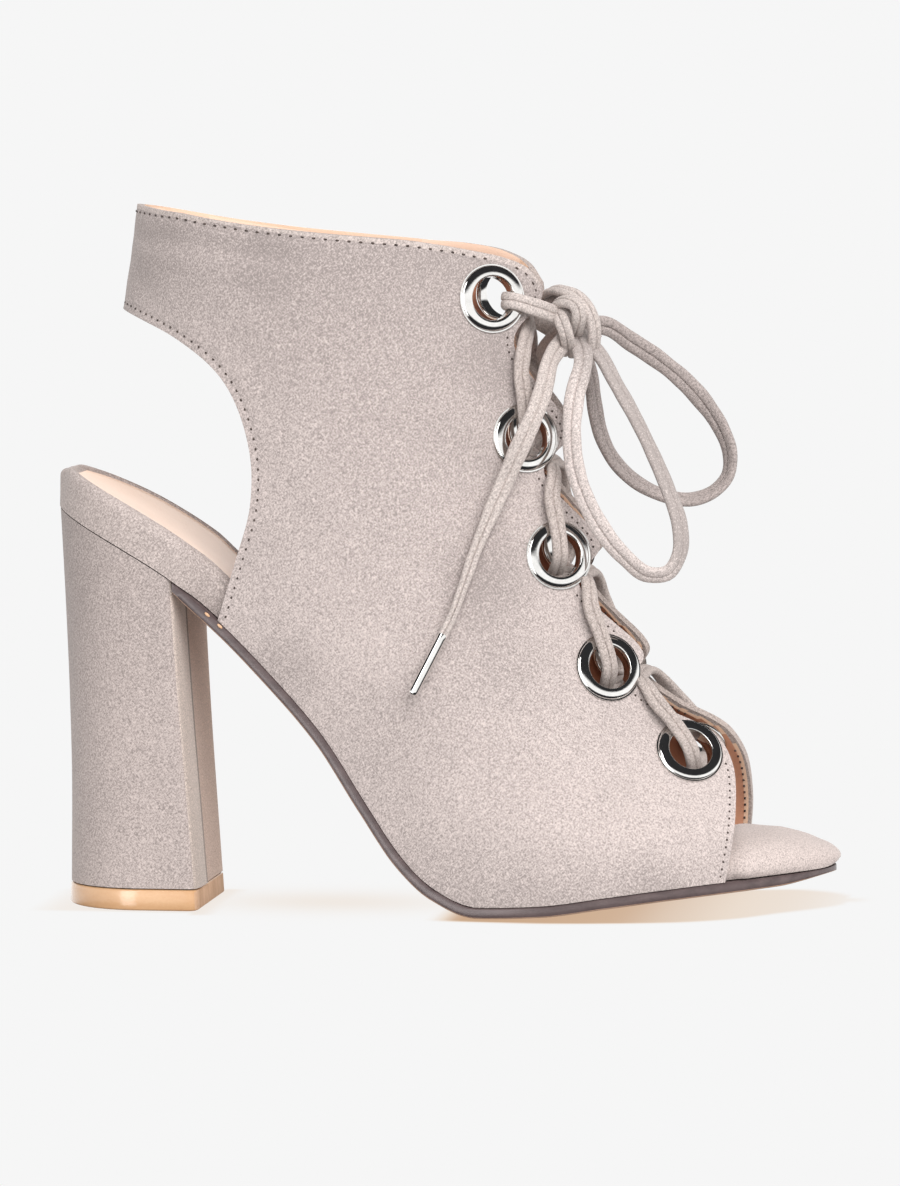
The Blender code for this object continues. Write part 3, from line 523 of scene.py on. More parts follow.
# Soft patches where the upper's tone is darker or lighter, as places of the side view
NapPatch = namedtuple("NapPatch", "x z reach weight")
TONE_PATCHES = rows_of(
    NapPatch,
    (119.5, 90.0, 20.0, -0.10),
    (124.0, 69.0, 18.0, -0.05),
    (119.0, 147.0, 16.0, -0.07),
    (64.0, 66.0, 14.0, -0.05),
    (87.0, 70.0, 18.0, 0.04),
    (29.0, 159.0, 12.0, 0.04),
    (60.0, 172.0, 16.0, -0.05),
    (163.0, 10.0, 14.0, -0.07),
)

# Tones and grain of the materials: scale in features per metre, bump distance in metres
Bump = namedtuple("Bump", "distance strength")
SuedeTone = namedtuple("SuedeTone", "name mid shades patches")
SUEDES = rows_of(
    SuedeTone,
    # One greige lace: the front loop in its own tone, darker copies as painted shade for the ends, knot and leads, the
    # crossing strands, and the back loop with the knot's core
    ("greige_lace", (0.475, 0.415, 0.392), LOOP_SHADES, ()),
    ("greige_lace_end", (0.43, 0.375, 0.35), (), ()),
    ("greige_lace_back", (0.31, 0.265, 0.25), (), ()),
    ("greige_lace_strand", (0.38, 0.325, 0.30), (), ()),
    ("greige_suede", (0.40, 0.343, 0.325), UPPER_SHADES, TONE_PATCHES),
    # Heel cover in the upper's suede, made darker as painted shade
    ("heel_suede", (0.36, 0.306, 0.288), HEEL_SHADES, ()),
    ("footbed_suede", (0.41, 0.349, 0.327), FOOTBED_SHADES, ()),
    # Breast: the strip painted lighter for the bounce light on it, and a painted shadow in the seam's groove
    ("breast_strip", (0.52, 0.44, 0.395), BREAST_SHADES, ()),
    ("breast_seam", (0.17, 0.13, 0.11), (), ()),
    ("breast_panel", (0.50, 0.36, 0.29), BREAST_SHADES, ()),
    # Turned suede edge darker than the upper as painted shade; band rolling over at the collar lighter as painted
    # light
    ("folded_edge", (0.34, 0.285, 0.26), (), ()),
    ("rolled_edge", (0.43, 0.37, 0.345), (), ()),
)
Grain = namedtuple("Grain", "scale detail specks weights stops coat_roughness bump speck_bump")
LEATHER = Grain(40.0, 2.0, 1500.0, (0.7, 0.3), (0.38, 0.62), 0.12, Bump(0.0012, 0.25), Bump(0.0001, 0.35))
PAINT = Grain(420.0, 3.0, 1300.0, (0.75, 0.25), (0.35, 0.65), 0.1, Bump(0.0003, 0.2), Bump(0.0001, 0.3))
SmoothTone = namedtuple("SmoothTone", "name dark light roughness coat stretch grain")
SMOOTHS = rows_of(
    SmoothTone,
    ("peach_bead", (0.70, 0.47, 0.33), (0.80, 0.56, 0.41), 0.45, 0.0, (1.0, 1.0, 1.0), LEATHER),
    ("peach_sock", (0.84, 0.59, 0.44), (0.91, 0.67, 0.52), 0.38, 0.25, (1.0, 1.0, 1.0), LEATHER),
    ("tan_glue", (0.55, 0.33, 0.19), (0.68, 0.44, 0.28), 0.4, 0.0, (1.0, 1.0, 1.0), LEATHER),
    ("sole_edge", (0.062, 0.043, 0.043), (0.098, 0.069, 0.068), 0.42, 0.1, (6.0, 1.0, 1.0), PAINT),
    ("sole_tread", (0.30, 0.18, 0.12), (0.42, 0.26, 0.18), 0.55, 0.0, (3.0, 1.0, 1.0), PAINT),
    ("tan_lift", (0.50, 0.285, 0.145), (0.55, 0.335, 0.185), 0.25, 0.5, (5.0, 5.0, 1.0), PAINT),
    ("tan_lift_front", (0.44, 0.27, 0.165), (0.56, 0.365, 0.24), 0.8, 0.0, (1.0, 1.0, 4.0), PAINT),
)
# Lining tones: painted shade inside the shoe, painted light at the open toe and along the collar
LINING_SHADE = (0.26, 0.105, 0.06)
LINING_TOE_LIT = (0.60, 0.30, 0.19)
LINING_COLLAR_LIT = (0.84, 0.60, 0.46)
LINING_STOPS = (0.05, 0.5, 0.85)
LINING_CLOUDS = 60.0
LINING_WEIGHTS = (0.8, 0.45, 0.1)
THREAD_TONES = ((0.030, 0.020, 0.017), (0.085, 0.060, 0.050))
THREAD_STOPS = (0.4, 0.6)
THREAD_TWIST = 3500.0
THREAD_STRETCH = (1.0, 1.0, 2.5)
THREAD_TURN = (0.0, 35.0, 0.0)
THREAD_BUMP = Bump(0.0001, 0.5)
METAL_TONES = ((0.70, 0.69, 0.67), (0.86, 0.85, 0.83))
METAL_STOPS = (0.3, 0.7)
METAL_ROUGHNESS = (0.04, 0.14)
METAL_HAZE = 260.0
METAL_LINES = 2400.0
METAL_LINE_STRETCH = (1.0, 10.0, 1.0)
METAL_WEIGHTS = (0.8, 0.2)
METAL_BUMP = Bump(0.00002, 0.3)

# Nap of the suede: clouds, fuzz, and fibres brushed two ways, scale in features per metre
NapLayer = namedtuple("NapLayer", "scale detail stretch turn weight")
NAP_LAYERS = rows_of(
    NapLayer,
    (24.0, 3.0, 1.0, 0.0, 0.12),
    (5200.0, 0.0, 1.0, 0.0, 0.26),
    (3100.0, 0.0, 2.2, 48.0, 0.33),
    (3100.0, 0.0, 2.0, -38.0, 0.29),
)
NAP_SPREAD = 0.36
NAP_STOPS = (0.36, 0.5, 0.64)
CLOUD_BUMP = Bump(0.0012, 0.2)
FIBRE_BUMP = Bump(0.0001, 0.6)
SHEEN = 0.2
SHEEN_ROUGHNESS = 0.45
SHEEN_TINT = (1.0, 0.95, 0.92, 1.0)

# Eyelets
SidePoint = namedtuple("SidePoint", "x z")
EYELETS = rows_of(
    SidePoint,
    (118.2, 163.1),
    (127.2, 126.4),
    (136.2, 95.6),
    (149.5, 66.2),
    (171.0, 44.3),
)
NOTCH_DEPTHS = (11.0, 9.8, 10.2, 8.4)
NOTCH_REACH = 0.6
EYELET_HOLE = 5.8
EYELET_BARREL = 6.25
EYELET_FLANGES = (9.15, 8.2)
EYELET_HEIGHT = 1.6
EYELET_LIP = 0.4
EYELET_LIP_HEIGHT = 0.55
EYELET_CREST = 6.5
EYELET_INNER = 6.15
EYELET_CONE = 0.05
WASHER_RADIUS = 6.9
WASHER_THICKNESS = 0.8
EYELET_GAP = 0.4
HOLE_RADIUS = 6.6
HOLE_DEPTH = 12 * UPPER_WALL
EYELET_SUNK = 0.05
EYELET_LIP_ROUND = 0.1
EYELET_LIP_LEAN = 0.06
EYELET_ROUND_STEPS = 12
EYELET_MOUTH = 0.8
EYELET_MOUTH_STEPS = 5
BARREL_ROUND = 0.2
WASHER_ROUND = 0.3
SEAT_FLAT = 10.2
SEAT_BLEND = 14.5
SIDES = (("outer", -1), ("inner", 1))

# Stitches along the edges of the upper
Seam = namedtuple("Seam", "pitch length")
COLLAR_SEAM = Seam(3.05, 1.25)
COLLAR_INSET_SHARES = (0.0, 0.12, 0.8, 1.0)
COLLAR_INSETS = (1.9, 1.4, 1.35, 1.5)
THROAT_SEAM = Seam(1.95, 0.8)
THROAT_INSET = 1.6
TOE_INSET = 1.4
CUT_OUT_SEAM = Seam(2.7, 0.95)
CUT_OUT_INSET = 1.8
SEAM_LEAST_STEP = 0.2
SEAM_SAMPLES = 420
STITCH_THICKNESS = 0.62
STITCH_DIP = 0.28
STITCH_TIP = 0.02
STITCH_NUDGE = 0.2
STITCH_SKIP = 2
STITCH_ROWS = 7
STITCH_SIDES = 6
SEAM_DEPTH = 0.22
SEAM_WIDTH = 0.7

# Lace: a flattened cord with a seam down one side
LACE_WIDTH = 5.2
LACE_THICKNESS = 2.3
KNOT_LACE_WIDTH = 4.0
LEAD_WIDTH = 4.6
STRAND_WIDTH = 4.4
KNOT_CORE_WIDTH = 8.0
LACE_SEAM = 0.32
LACE_SEAM_WIDTH = 0.07
LACE_DIP = 0.16
LACE_DIP_WIDTH = 0.35
LACE_POWER = 2.6
LACE_SPREAD = (1.0, 0.97, 0.88, 0.7, 0.45, 0.25, 0.12, 0.05)
LACE_STEP = 1.1
LACE_LEAST_STEPS = 6
LACE_LEAST_TURN = 0.3
LaceWave = namedtuple("LaceWave", "share run")
LACE_WAVES = rows_of(
    LaceWave,
    (0.035, 2.9),
    (0.02, 1.3),
)
LACE_VIEWED = (0.13, -0.98, 0.07)
STRAND_OVER_EDGE = 1.2
EDGE_CLEAR = 1.0
STRAND_INSIDE = 2.6
STRAND_LIE_SHARE = 0.3
STRAND_RIM_SHARE = 0.6
STRAND_PAST = 4.0
STRAND_ENTRY = 0.6
STRAND_ENTRY_LIFT = 0.9
STRAND_THROUGH = 2.6
LeadPoint = namedtuple("LeadPoint", "x z lift")
LEAD = rows_of(
    LeadPoint,
    (129.0, 160.6, -4.6),
    (124.6, 161.9, -3.9),
    (122.1, 162.5, -1.8),
    (121.6, 162.6, 0.3),
    (122.7, 162.3, 2.2),
    (126.4, 160.9, 3.1),
    (131.8, 158.4, 3.1),
)
LEAD_INNER = LEAD[:4] + rows_of(
    LeadPoint,
    (122.4, 161.4, 2.2),
    (125.4, 156.8, 3.0),
    (129.8, 154.0, 3.0),
)
AGLET_DIAMETER = 2.6
AGLET_LENGTH = 17.0
AGLET_STEPS = 20
AgletRing = namedtuple("AgletRing", "along size")
AGLET_RINGS = rows_of(
    AgletRing,
    (-0.8, 0.80),
    (-0.8, 1.0),
    (0.0, 1.06),
    (0.6, 1.0),
    (AGLET_LENGTH - 0.9, 1.0),
    (AGLET_LENGTH - 0.4, 0.94),
    (AGLET_LENGTH - 0.1, 0.8),
    (AGLET_LENGTH, 0.5),
)
END_NARROW = (0.45, 0.9)
END_FACING = 0.3
KNOT_CENTRE = (138.6, -3.5, 154.6)

# Routes of the free lace: station, side, height
LOOP_FRONT = (
    (142.0, -12.0, 147.0), (140.2, -17.0, 137.0), (139.9, -20.5, 127.5), (141.0, -22.5, 119.0),
    (143.8, -23.0, 110.8), (148.6, -22.8, 102.1), (154.2, -21.5, 95.4), (160.0, -19.8, 90.9),
    (165.2, -18.2, 91.3), (168.1, -17.0, 96.3), (168.0, -15.8, 103.6), (165.0, -14.2, 112.2),
    (160.4, -12.6, 122.5), (155.1, -11.0, 132.7), (149.8, -9.0, 141.5), (146.4, -7.2, 147.2),
)
LOOP_BACK = (
    (146.5, 3.6, 155.2), (152.7, 6.5, 151.0), (159.7, 8.5, 146.2), (166.2, 10.0, 140.8),
    (171.9, 11.0, 134.5), (176.3, 11.2, 127.9), (178.7, 11.2, 121.2), (178.1, 11.0, 115.2),
    (174.2, 10.4, 110.9), (168.4, 10.0, 108.9), (161.5, 9.0, 109.9), (154.5, 8.0, 113.2),
    (148.1, 7.0, 119.4), (144.7, 5.6, 126.5), (143.3, 4.4, 133.4), (142.4, 2.4, 141.5),
)

# Twist of the loops in degrees, along them
LaceTurn = namedtuple("LaceTurn", "share twist")
FRONT_TURNS = rows_of(
    LaceTurn,
    (0.0, 0.0),
    (0.12, 0.0),
    (0.24, 28.0),
    (0.36, 16.0),
    (0.5, 48.0),
    (0.62, 42.0),
    (0.76, 57.0),
    (0.9, 50.0),
    (1.0, 40.0),
)
BACK_TURNS = rows_of(
    LaceTurn,
    (0.0, 15.0),
    (0.28, 10.0),
    (0.44, 60.0),
    (0.56, 55.0),
    (0.75, 50.0),
    (1.0, 40.0),
)
END_OUTER = (
    (133.6, -14.0, 147.0), (132.3, -20.6, 139.0), (130.0, -25.4, 131.5), (126.6, -26.8, 123.8),
    (123.2, -26.4, 116.0), (119.5, -27.6, 107.3), (115.6, -29.6, 97.5), (112.4, -32.0, 87.5),
    (109.6, -34.0, 79.5), (107.4, -35.2, 75.0),
)
END_INNER_TOP = ((131.0, 7.0, 150.5), (128.0, 15.0, 145.5), (127.5, 21.5, 138.5))
KNOT_ARCH = (
    (129.0, 3.0, 161.6), (130.3, 1.0, 163.4), (132.9, -3.0, 164.9), (136.0, -7.0, 164.9),
    (139.2, -9.0, 164.0), (141.9, -10.0, 161.8), (143.8, -10.0, 158.6), (144.6, -9.5, 155.2),
    (144.4, -8.0, 151.2), (143.3, -5.0, 147.6),
)
KNOT_WRAP = (
    (133.8, -4.0, 160.8), (134.7, -9.0, 159.4), (136.1, -12.0, 157.4), (137.3, -13.0, 154.5),
    (137.8, -11.0, 151.5), (137.5, -6.0, 149.2), (136.7, -1.0, 148.0),
)
KNOT_CROSS = (
    (132.8, -4.0, 160.0), (134.6, -8.0, 161.6), (137.3, -11.0, 162.3), (139.9, -12.5, 161.4),
    (140.9, -12.5, 158.7), (140.1, -10.0, 155.5), (138.5, -5.0, 152.6),
)
# Dark core inside the knot, painted shade filling the gaps between its wraps
KNOT_CORE = ((130.5, 0.0, 161.5), (135.5, -1.0, 160.0), (139.5, -1.0, 156.5), (142.0, 0.0, 151.0))

# Resolution of the fine meshes
UPPER_ROWS_PER_STEP = 12
UPPER_TOE_ROWS = 28
UPPER_COLUMNS = 72
COLUMN_EVEN = 0.35
STRAP_STEPS = 30
SOLE_ROWS = 150
HEEL_ROWS = 30
HEEL_SIDE_POINTS = 34
EYELET_STEPS = 48
WELD = 1e-6


def hermite(u, step, start, end, start_slope, end_slope):
    """Cubic between two values with their slopes, at share u of a step."""
    return (start * (1 + 2 * u) * (1 - u) ** 2 + start_slope * step * u * (1 - u) ** 2
            + end * u * u * (3 - 2 * u) + end_slope * step * u * u * (u - 1))


def monotone(xs, ys, x):
    """Smooth curve through (xs, ys) that never overshoots between two points."""
    xs = np.asarray(xs, float)
    ys = np.asarray(ys, float)
    steps = np.diff(xs)
    slopes = np.diff(ys) / steps
    tangents = np.zeros(len(xs))
    tangents[0] = slopes[0]
    tangents[-1] = slopes[-1]
    for i in range(1, len(xs) - 1):
        if slopes[i - 1] * slopes[i] > 0:
            before = 2 * steps[i] + steps[i - 1]
            after = steps[i] + 2 * steps[i - 1]
            tangents[i] = (before + after) / (before / slopes[i - 1] + after / slopes[i])
    x = min(max(x, xs[0]), xs[-1])
    i = min(int(np.searchsorted(xs, x, side="right")) - 1, len(xs) - 2)
    return hermite((x - xs[i]) / steps[i], steps[i], ys[i], ys[i + 1], tangents[i], tangents[i + 1])


def table_value(table, name, at):
    """Value of one named column of a table, whose first column is where each row stands."""
    return monotone([row[0] for row in table], [getattr(row, name) for row in table], at)


def feather(x):
    return table_value(SOLE, "feather", x)


def middle(x):
    return table_value(SOLE, "middle", x)


def sole_half(x, inset=0.0):
    """Half width of the sole, with its round heel seat and toe, or of an outline set inside it."""
    body = table_value(SOLE, "half_width", x) - inset
    heel = 1 - min(max(x - inset, 0.0) / (HEEL_ROUND - inset), 1.0)
    toe = 1 - min(max(LENGTH - inset - x, 0.0) / (TOE_ROUND - inset), 1.0)
    return body * math.sqrt(1 - heel ** 2) * (1 - toe ** TOE_POWER) ** (1 / TOE_POWER)


def sole_normal(x, lean=1.0):
    """Unit vector (dx, dz) out of the top of the sole, turned back towards upright by lean."""
    step = 0.5
    rise = (feather(x + step) - feather(x - step)) / (2 * step)
    angle = math.atan(rise) * lean
    return -math.sin(angle), math.cos(angle)


def smooth_step(value, start, end):
    share = min(max((value - start) / (end - start), 0.0), 1.0)
    return share * share * (3 - 2 * share)


def laid(place):
    """Point beside a straight middle line put on the shoe's own, with what differs between the sides."""
    x, y, z = place
    shares = [smooth_step(*run) for run in zip((x, z), INNER_BACK_FROM, INNER_BACK_FULL)]
    back = INNER_BACK * shares[0] * shares[1] if y > 0 else 0.0
    near = smooth_step(z + COLLAR_FALL * (x - COLLAR[0].x), COLLAR_LIFT_FROM, COLLAR_LIFT_FULL)
    lift = near * table_value(COLLAR_LIFTS, "inner" if y > 0 else "outer", x)
    return np.array((x - back, y + middle(x), z + lift))


def world(x, y, z):
    """Millimetres from the heel to metres, the origin under the middle of the shoe."""
    return Vector(((x - ORIGIN_STATION) * MM, y * MM, z * MM))


def unit(direction):
    direction = np.asarray(direction, float)
    return direction / np.linalg.norm(direction)


class EdgeCurve:
    """Smooth curve through points, read by its share of the length from 0 to 1."""

    def __init__(self, points):
        self.points = np.array(points, float)
        chords = np.linalg.norm(np.diff(self.points, axis=0), axis=1)
        self.along = np.concatenate([[0], np.cumsum(chords)])
        self.tangents = np.gradient(self.points, self.along, axis=0)

    def __call__(self, share):
        at = min(max(share, 0.0), 1.0) * self.along[-1]
        i = min(int(np.searchsorted(self.along, at, side="right")) - 1, len(self.points) - 2)
        step = self.along[i + 1] - self.along[i]
        return hermite((at - self.along[i]) / step, step, self.points[i], self.points[i + 1],
                       self.tangents[i], self.tangents[i + 1])


def upper_foot(x):
    """Lower edge of the upper, just over the sole and inside its edge."""
    return EdgePoint(x, feather(x) + UPPER_FOOT_GAP, sole_half(x, UPPER_INSET))


def side_curve(points):
    """Edge as it is seen from the side."""
    return EdgeCurve([(point.x, point.z) for point in points])


def filled(top, bottom, left, right):
    """Flat sheet between four edges: s runs along top and bottom, t along left and right."""
    def place(s, t):
        corners = ((1 - s) * (1 - t) * top(0) + s * (1 - t) * top(1)
                   + (1 - s) * t * bottom(0) + s * t * bottom(1))
        return (1 - t) * top(s) + t * bottom(s) + (1 - s) * left(t) + s * right(t) - corners
    return place


def distance_to_lines(place, starts, ends):
    """Distances from a point of the side view to straight lines."""
    runs = ends - starts
    shares = np.clip(np.sum((place - starts) * runs, axis=1) / np.sum(runs ** 2, axis=1), 0, 1)
    return np.linalg.norm(place - starts - shares[:, None] * runs, axis=1)


class Upper:
    """Outer skin of one side: its side view in two sheets, and the half width over each point of it."""

    def __init__(self):
        self.fit_half_width()
        self.seats = []
        self.seats = [(self.skin(*point), self.normal(*point)) for point in EYELETS]
        self.throat = side_curve(THROAT + (upper_foot(TOE_OPENING_FOOT),))
        self.eyelet_shares = [self.nearest_share(point) for point in EYELETS]
        self.rows = self.row_shares()
        self.lay_sheets()
        self.seams = self.seam_lines()

    def fit_half_width(self):
        """Thin-plate surface through the squares of the half widths, which keeps the back strap round."""
        foot = np.linspace(UPPER_BACK_CORNER, TOE_OPENING_FOOT, SKIN_FOOT_ROWS)
        rows = COLLAR + STRAP_BACK + HEEL_CUT_OUT + THROAT + BODY + tuple(upper_foot(x) for x in foot)
        rows = list(dict.fromkeys(rows))
        self.knots = np.array([(row.x, row.z) for row in rows]) / LENGTH
        count = len(rows)
        system = np.zeros((count + 3, count + 3))
        system[:count, :count] = self.bend(self.knots[:, None] - self.knots[None])
        system[:count, count:] = np.column_stack([np.ones(count), self.knots])
        system[count:, :count] = system[:count, count:].T
        squares = np.array([row.half ** 2 for row in rows])
        self.weights = np.linalg.solve(system, np.concatenate([squares, np.zeros(3)]))

    @staticmethod
    def bend(offsets):
        distance = np.linalg.norm(offsets, axis=-1)
        return distance ** 2 * np.log(np.maximum(distance, 1e-9))

    def half(self, x, z):
        """Half width of the skin at a point of the side view."""
        place = np.array((x, z)) / LENGTH
        terms = np.concatenate([self.bend(place - self.knots), (1.0,), place])
        least = 0.0
        if z > STRAP_BACK[-1].z:
            upwards = STRAP_BACK[::-1]
            past = x - np.interp(z, [point.z for point in upwards], [point.x for point in upwards])
            least = 2 * STRAP_ROUND * min(max(past, 0.0), STRAP_ROUND_RUN)
        return math.sqrt(max(terms @ self.weights, least))

    def skin(self, x, z):
        """Point (x, half, z) of the skin, pressed flat under each eyelet."""
        place = np.array((x, self.half(x, z), z))
        for centre, normal in self.seats:
            height = (place - centre) @ normal
            radius = np.linalg.norm(place - centre - height * normal)
            place = place - normal * height * smooth_step(radius, SEAT_BLEND, SEAT_FLAT)
        return place

    def normal(self, x, z):
        step = 0.3
        slope_x = (self.half(x + step, z) - self.half(x - step, z)) / (2 * step)
        slope_z = (self.half(x, z + step) - self.half(x, z - step)) / (2 * step)
        return unit((-slope_x, 1.0, -slope_z))

    def lifted(self, place, side, lift):
        """Point over the skin of one side (-1 outer, 1 inner), beside a straight middle line."""
        x, half, z = self.skin(*place) + lift * self.normal(*place)
        return np.array((x, side * half, z))

    def facing(self, place, side):
        """Direction out of the skin of one side."""
        return self.normal(*place) * (1, side, 1)

    def nearest_share(self, point):
        shares = np.linspace(0, 1, THROAT_SAMPLES)
        return min(shares, key=lambda share: np.linalg.norm(self.throat(share) - np.array(point)))

    def notch_share(self, number):
        return (self.eyelet_shares[number] + self.eyelet_shares[number + 1]) / 2

    def row_shares(self):
        """Row places down the throat, with even steps between the eyelets and the notches."""
        keys = [0.0]
        for number, share in enumerate(self.eyelet_shares):
            keys.append(share)
            if number < len(NOTCH_DEPTHS):
                keys.append(self.notch_share(number))
        rows = [0.0]
        for first, second in zip(keys, keys[1:]):
            rows += list(np.linspace(first, second, UPPER_ROWS_PER_STEP + 1)[1:])
        return rows + list(np.linspace(keys[-1], 1.0, UPPER_TOE_ROWS + 1)[1:])

    def inward(self, share):
        """Direction from the throat edge back along its row, in the side view."""
        return unit(self.main(1.0 - NOTCH_REACH, share) - self.throat(share))

    def cut_back(self, share):
        """How far the scalloped edge is cut back at a share of the throat's length."""
        for number, depth in enumerate(NOTCH_DEPTHS):
            first, second = self.eyelet_shares[number], self.eyelet_shares[number + 1]
            if first < share < second:
                return depth * (1 - math.cos(2 * math.pi * (share - first) / (second - first))) / 2
        return 0.0

    def edge(self, share):
        """Point of the scalloped throat edge in the side view."""
        return self.throat(share) + self.cut_back(share) * self.inward(share)

    def lay_sheets(self):
        """Strap sheet behind the split line, main sheet in front of it."""
        self.collar = side_curve(COLLAR)
        self.cut_out = side_curve(HEEL_CUT_OUT + (upper_foot(UPPER_BACK_CORNER),))
        foot_stations = np.linspace(UPPER_BACK_CORNER, TOE_OPENING_FOOT, FOOT_CURVE_POINTS)
        foot = side_curve([upper_foot(x) for x in foot_stations])
        back = side_curve(STRAP_BACK)
        self.split = self.notch_share(STRAP_LOBE - 1)
        split_top, split_foot = self.collar(COLLAR_SPLIT), self.cut_out(CUT_OUT_SPLIT)

        def split_line(share):
            return split_top + (split_foot - split_top) * share

        def front_left(share):
            if share < self.split:
                return split_line(share / self.split)
            rest = (share - self.split) / (1 - self.split)
            return self.cut_out(CUT_OUT_SPLIT + (1 - CUT_OUT_SPLIT) * rest)

        def strap_top(share):
            return self.collar(share * COLLAR_SPLIT)

        def strap_foot(share):
            return self.cut_out(share * CUT_OUT_SPLIT)

        def main_top(share):
            return self.collar(COLLAR_SPLIT + share * (1 - COLLAR_SPLIT))

        self.strap = filled(strap_top, strap_foot, back, split_line)
        self.main = filled(main_top, foot, front_left, self.throat)

    def seam_lines(self):
        """Stitch lines in the side view with their seams: collar, throat and toe, cut-out."""
        shares = np.linspace(0, 1, SEAM_SAMPLES)
        marks = (0.0, self.eyelet_shares[0], self.eyelet_shares[-1], 1.0)
        throat_insets = np.interp(shares, marks, (COLLAR_INSETS[-1], THROAT_INSET, THROAT_INSET, TOE_INSET))
        collar_insets = np.interp(shares, COLLAR_INSET_SHARES, COLLAR_INSETS)
        seams = (
            (self.collar, -collar_insets, COLLAR_SEAM),
            (self.edge, -throat_insets, THROAT_SEAM),
            (self.cut_out, CUT_OUT_INSET, CUT_OUT_SEAM),
        )
        lines = []
        for edge, inset, seam in seams:
            lines.append((self.inset_line([edge(share) for share in shares], inset), seam))
        return lines

    @staticmethod
    def inset_line(points, inset):
        """Line at a distance from an edge, to its left, or to its right where the distance is below 0."""
        points = np.array(points)
        ways = np.gradient(points, axis=0)
        ways /= np.linalg.norm(ways, axis=1)[:, None]
        line = points + np.column_stack([-ways[:, 1] * inset, ways[:, 0] * inset])
        keep = [line[0]]
        for place, way in zip(line[1:], ways[1:]):
            if (place - keep[-1]) @ way > SEAM_LEAST_STEP:
                keep.append(place)
        return np.array(keep)

    def relief(self, place):
        """Height of creases and stitch troughs over the smooth skin."""
        starts = np.array([(crease.x0, crease.z0) for crease in CREASES])
        ends = np.array([(crease.x1, crease.z1) for crease in CREASES])
        widths = np.array([crease.width for crease in CREASES])
        depths = np.array([crease.depth for crease in CREASES])
        height = np.sum(depths * np.exp(-(distance_to_lines(place, starts, ends) / widths) ** 2))
        for line, _ in self.seams:
            near = np.min(np.linalg.norm(line - place, axis=1))
            height -= SEAM_DEPTH * math.exp(-(near / SEAM_WIDTH) ** 2)
        return height

    def dressed(self, place):
        """Point (x, half, z) of the skin with its creases and stitch troughs, plain at the strap's back."""
        point = self.skin(*place)
        return point + self.relief(place) * min(point[1] / STRAP_PLAIN, 1.0) * self.normal(*place)

    def row(self, share):
        """Points (x, half, z) of one row, from the back or the cut-out to the throat."""
        points = []
        if share <= self.split + 1e-9:
            for step in range(STRAP_STEPS):
                points.append(self.dressed(self.strap((step / STRAP_STEPS) ** 2, share / self.split)))
            points[0][1] = 0.0
        for column in range(UPPER_COLUMNS + 1):
            u = column / UPPER_COLUMNS
            s = COLUMN_EVEN * u + (1 - COLUMN_EVEN) * (1 - math.cos(math.pi * u)) / 2
            near_edge = max(s - 1 + NOTCH_REACH, 0.0) / NOTCH_REACH
            place = self.main(s, share) + self.cut_back(share) * self.inward(share) * near_edge ** 2
            points.append(self.dressed(place))
        return points


# Shader helpers

def add_node(tree, kind, inputs, **settings):
    """New shader node: an input is linked where it gets a socket, and set where it gets a constant."""
    node = tree.nodes.new("ShaderNode" + kind)
    for name, value in settings.items():
        setattr(node, name, value)
    set_inputs(tree, node, inputs)
    return node


def set_inputs(tree, node, inputs):
    for name, value in inputs.items():
        if isinstance(value, bpy.types.NodeSocket):
            tree.links.new(value, node.inputs[name])
        else:
            node.inputs[name].default_value = value


def new_material(name, roughness, metallic=0.0, specular=0.5):
    material = bpy.data.materials.new(name)
    material.use_nodes = True
    tree = material.node_tree
    shader = tree.nodes["Principled BSDF"]
    set_inputs(tree, shader, {"Roughness": roughness, "Metallic": metallic, "Specular IOR Level": specular})
    return material, tree, shader


def object_place(tree):
    """Place over the object's own metres."""
    return add_node(tree, "TexCoord", {}).outputs["Object"]


def noise(tree, scale, detail=2.0, stretch=(1.0, 1.0, 1.0), turn=(0.0, 0.0, 0.0)):
    """Noise over the object's own metres: scale is features per metre, stretched along turned axes."""
    angles = [math.radians(angle) for angle in turn]
    inputs = {"Vector": object_place(tree), "Scale": stretch, "Rotation": angles}
    mapping = add_node(tree, "Mapping", inputs, vector_type="TEXTURE")
    inputs = {"Vector": mapping.outputs["Vector"], "Scale": scale, "Detail": detail}
    return add_node(tree, "TexNoise", inputs).outputs["Fac"]


def blend_sum(tree, values, weights):
    """Weighted sum of values."""
    total = 0.0
    for value, weight in zip(values, weights):
        inputs = {0: value, 1: weight, 2: total}
        total = add_node(tree, "Math", inputs, operation="MULTIPLY_ADD").outputs[0]
    return total


def ramp(tree, value, stops, colours):
    """Colour of a value, from one colour at each stop."""
    node = add_node(tree, "ValToRGB", {"Fac": value})
    band = node.color_ramp
    while len(band.elements) < len(stops):
        band.elements.new(0.5)
    for element, stop, colour in zip(band.elements, stops, colours):
        element.position = stop
        element.color = (*colour, 1.0)
    return node.outputs["Color"]


def bump(tree, shader, layers):
    """Stacked bumps of (height, distance in metres, strength) on a shader."""
    below = {}
    for height, distance, strength in layers:
        inputs = {"Height": height, "Distance": distance, "Strength": strength, **below}
        below = {"Normal": add_node(tree, "Bump", inputs).outputs["Normal"]}
    set_inputs(tree, shader, below)


def slope_share(tree, direction, start, end):
    """Share of the way from start to end along a direction over the object's own metres."""
    height = add_node(tree, "VectorMath", {0: object_place(tree), 1: direction}, operation="DOT_PRODUCT")
    inputs = {"Value": height.outputs["Value"], "From Min": start, "From Max": end}
    return add_node(tree, "MapRange", inputs).outputs["Result"]


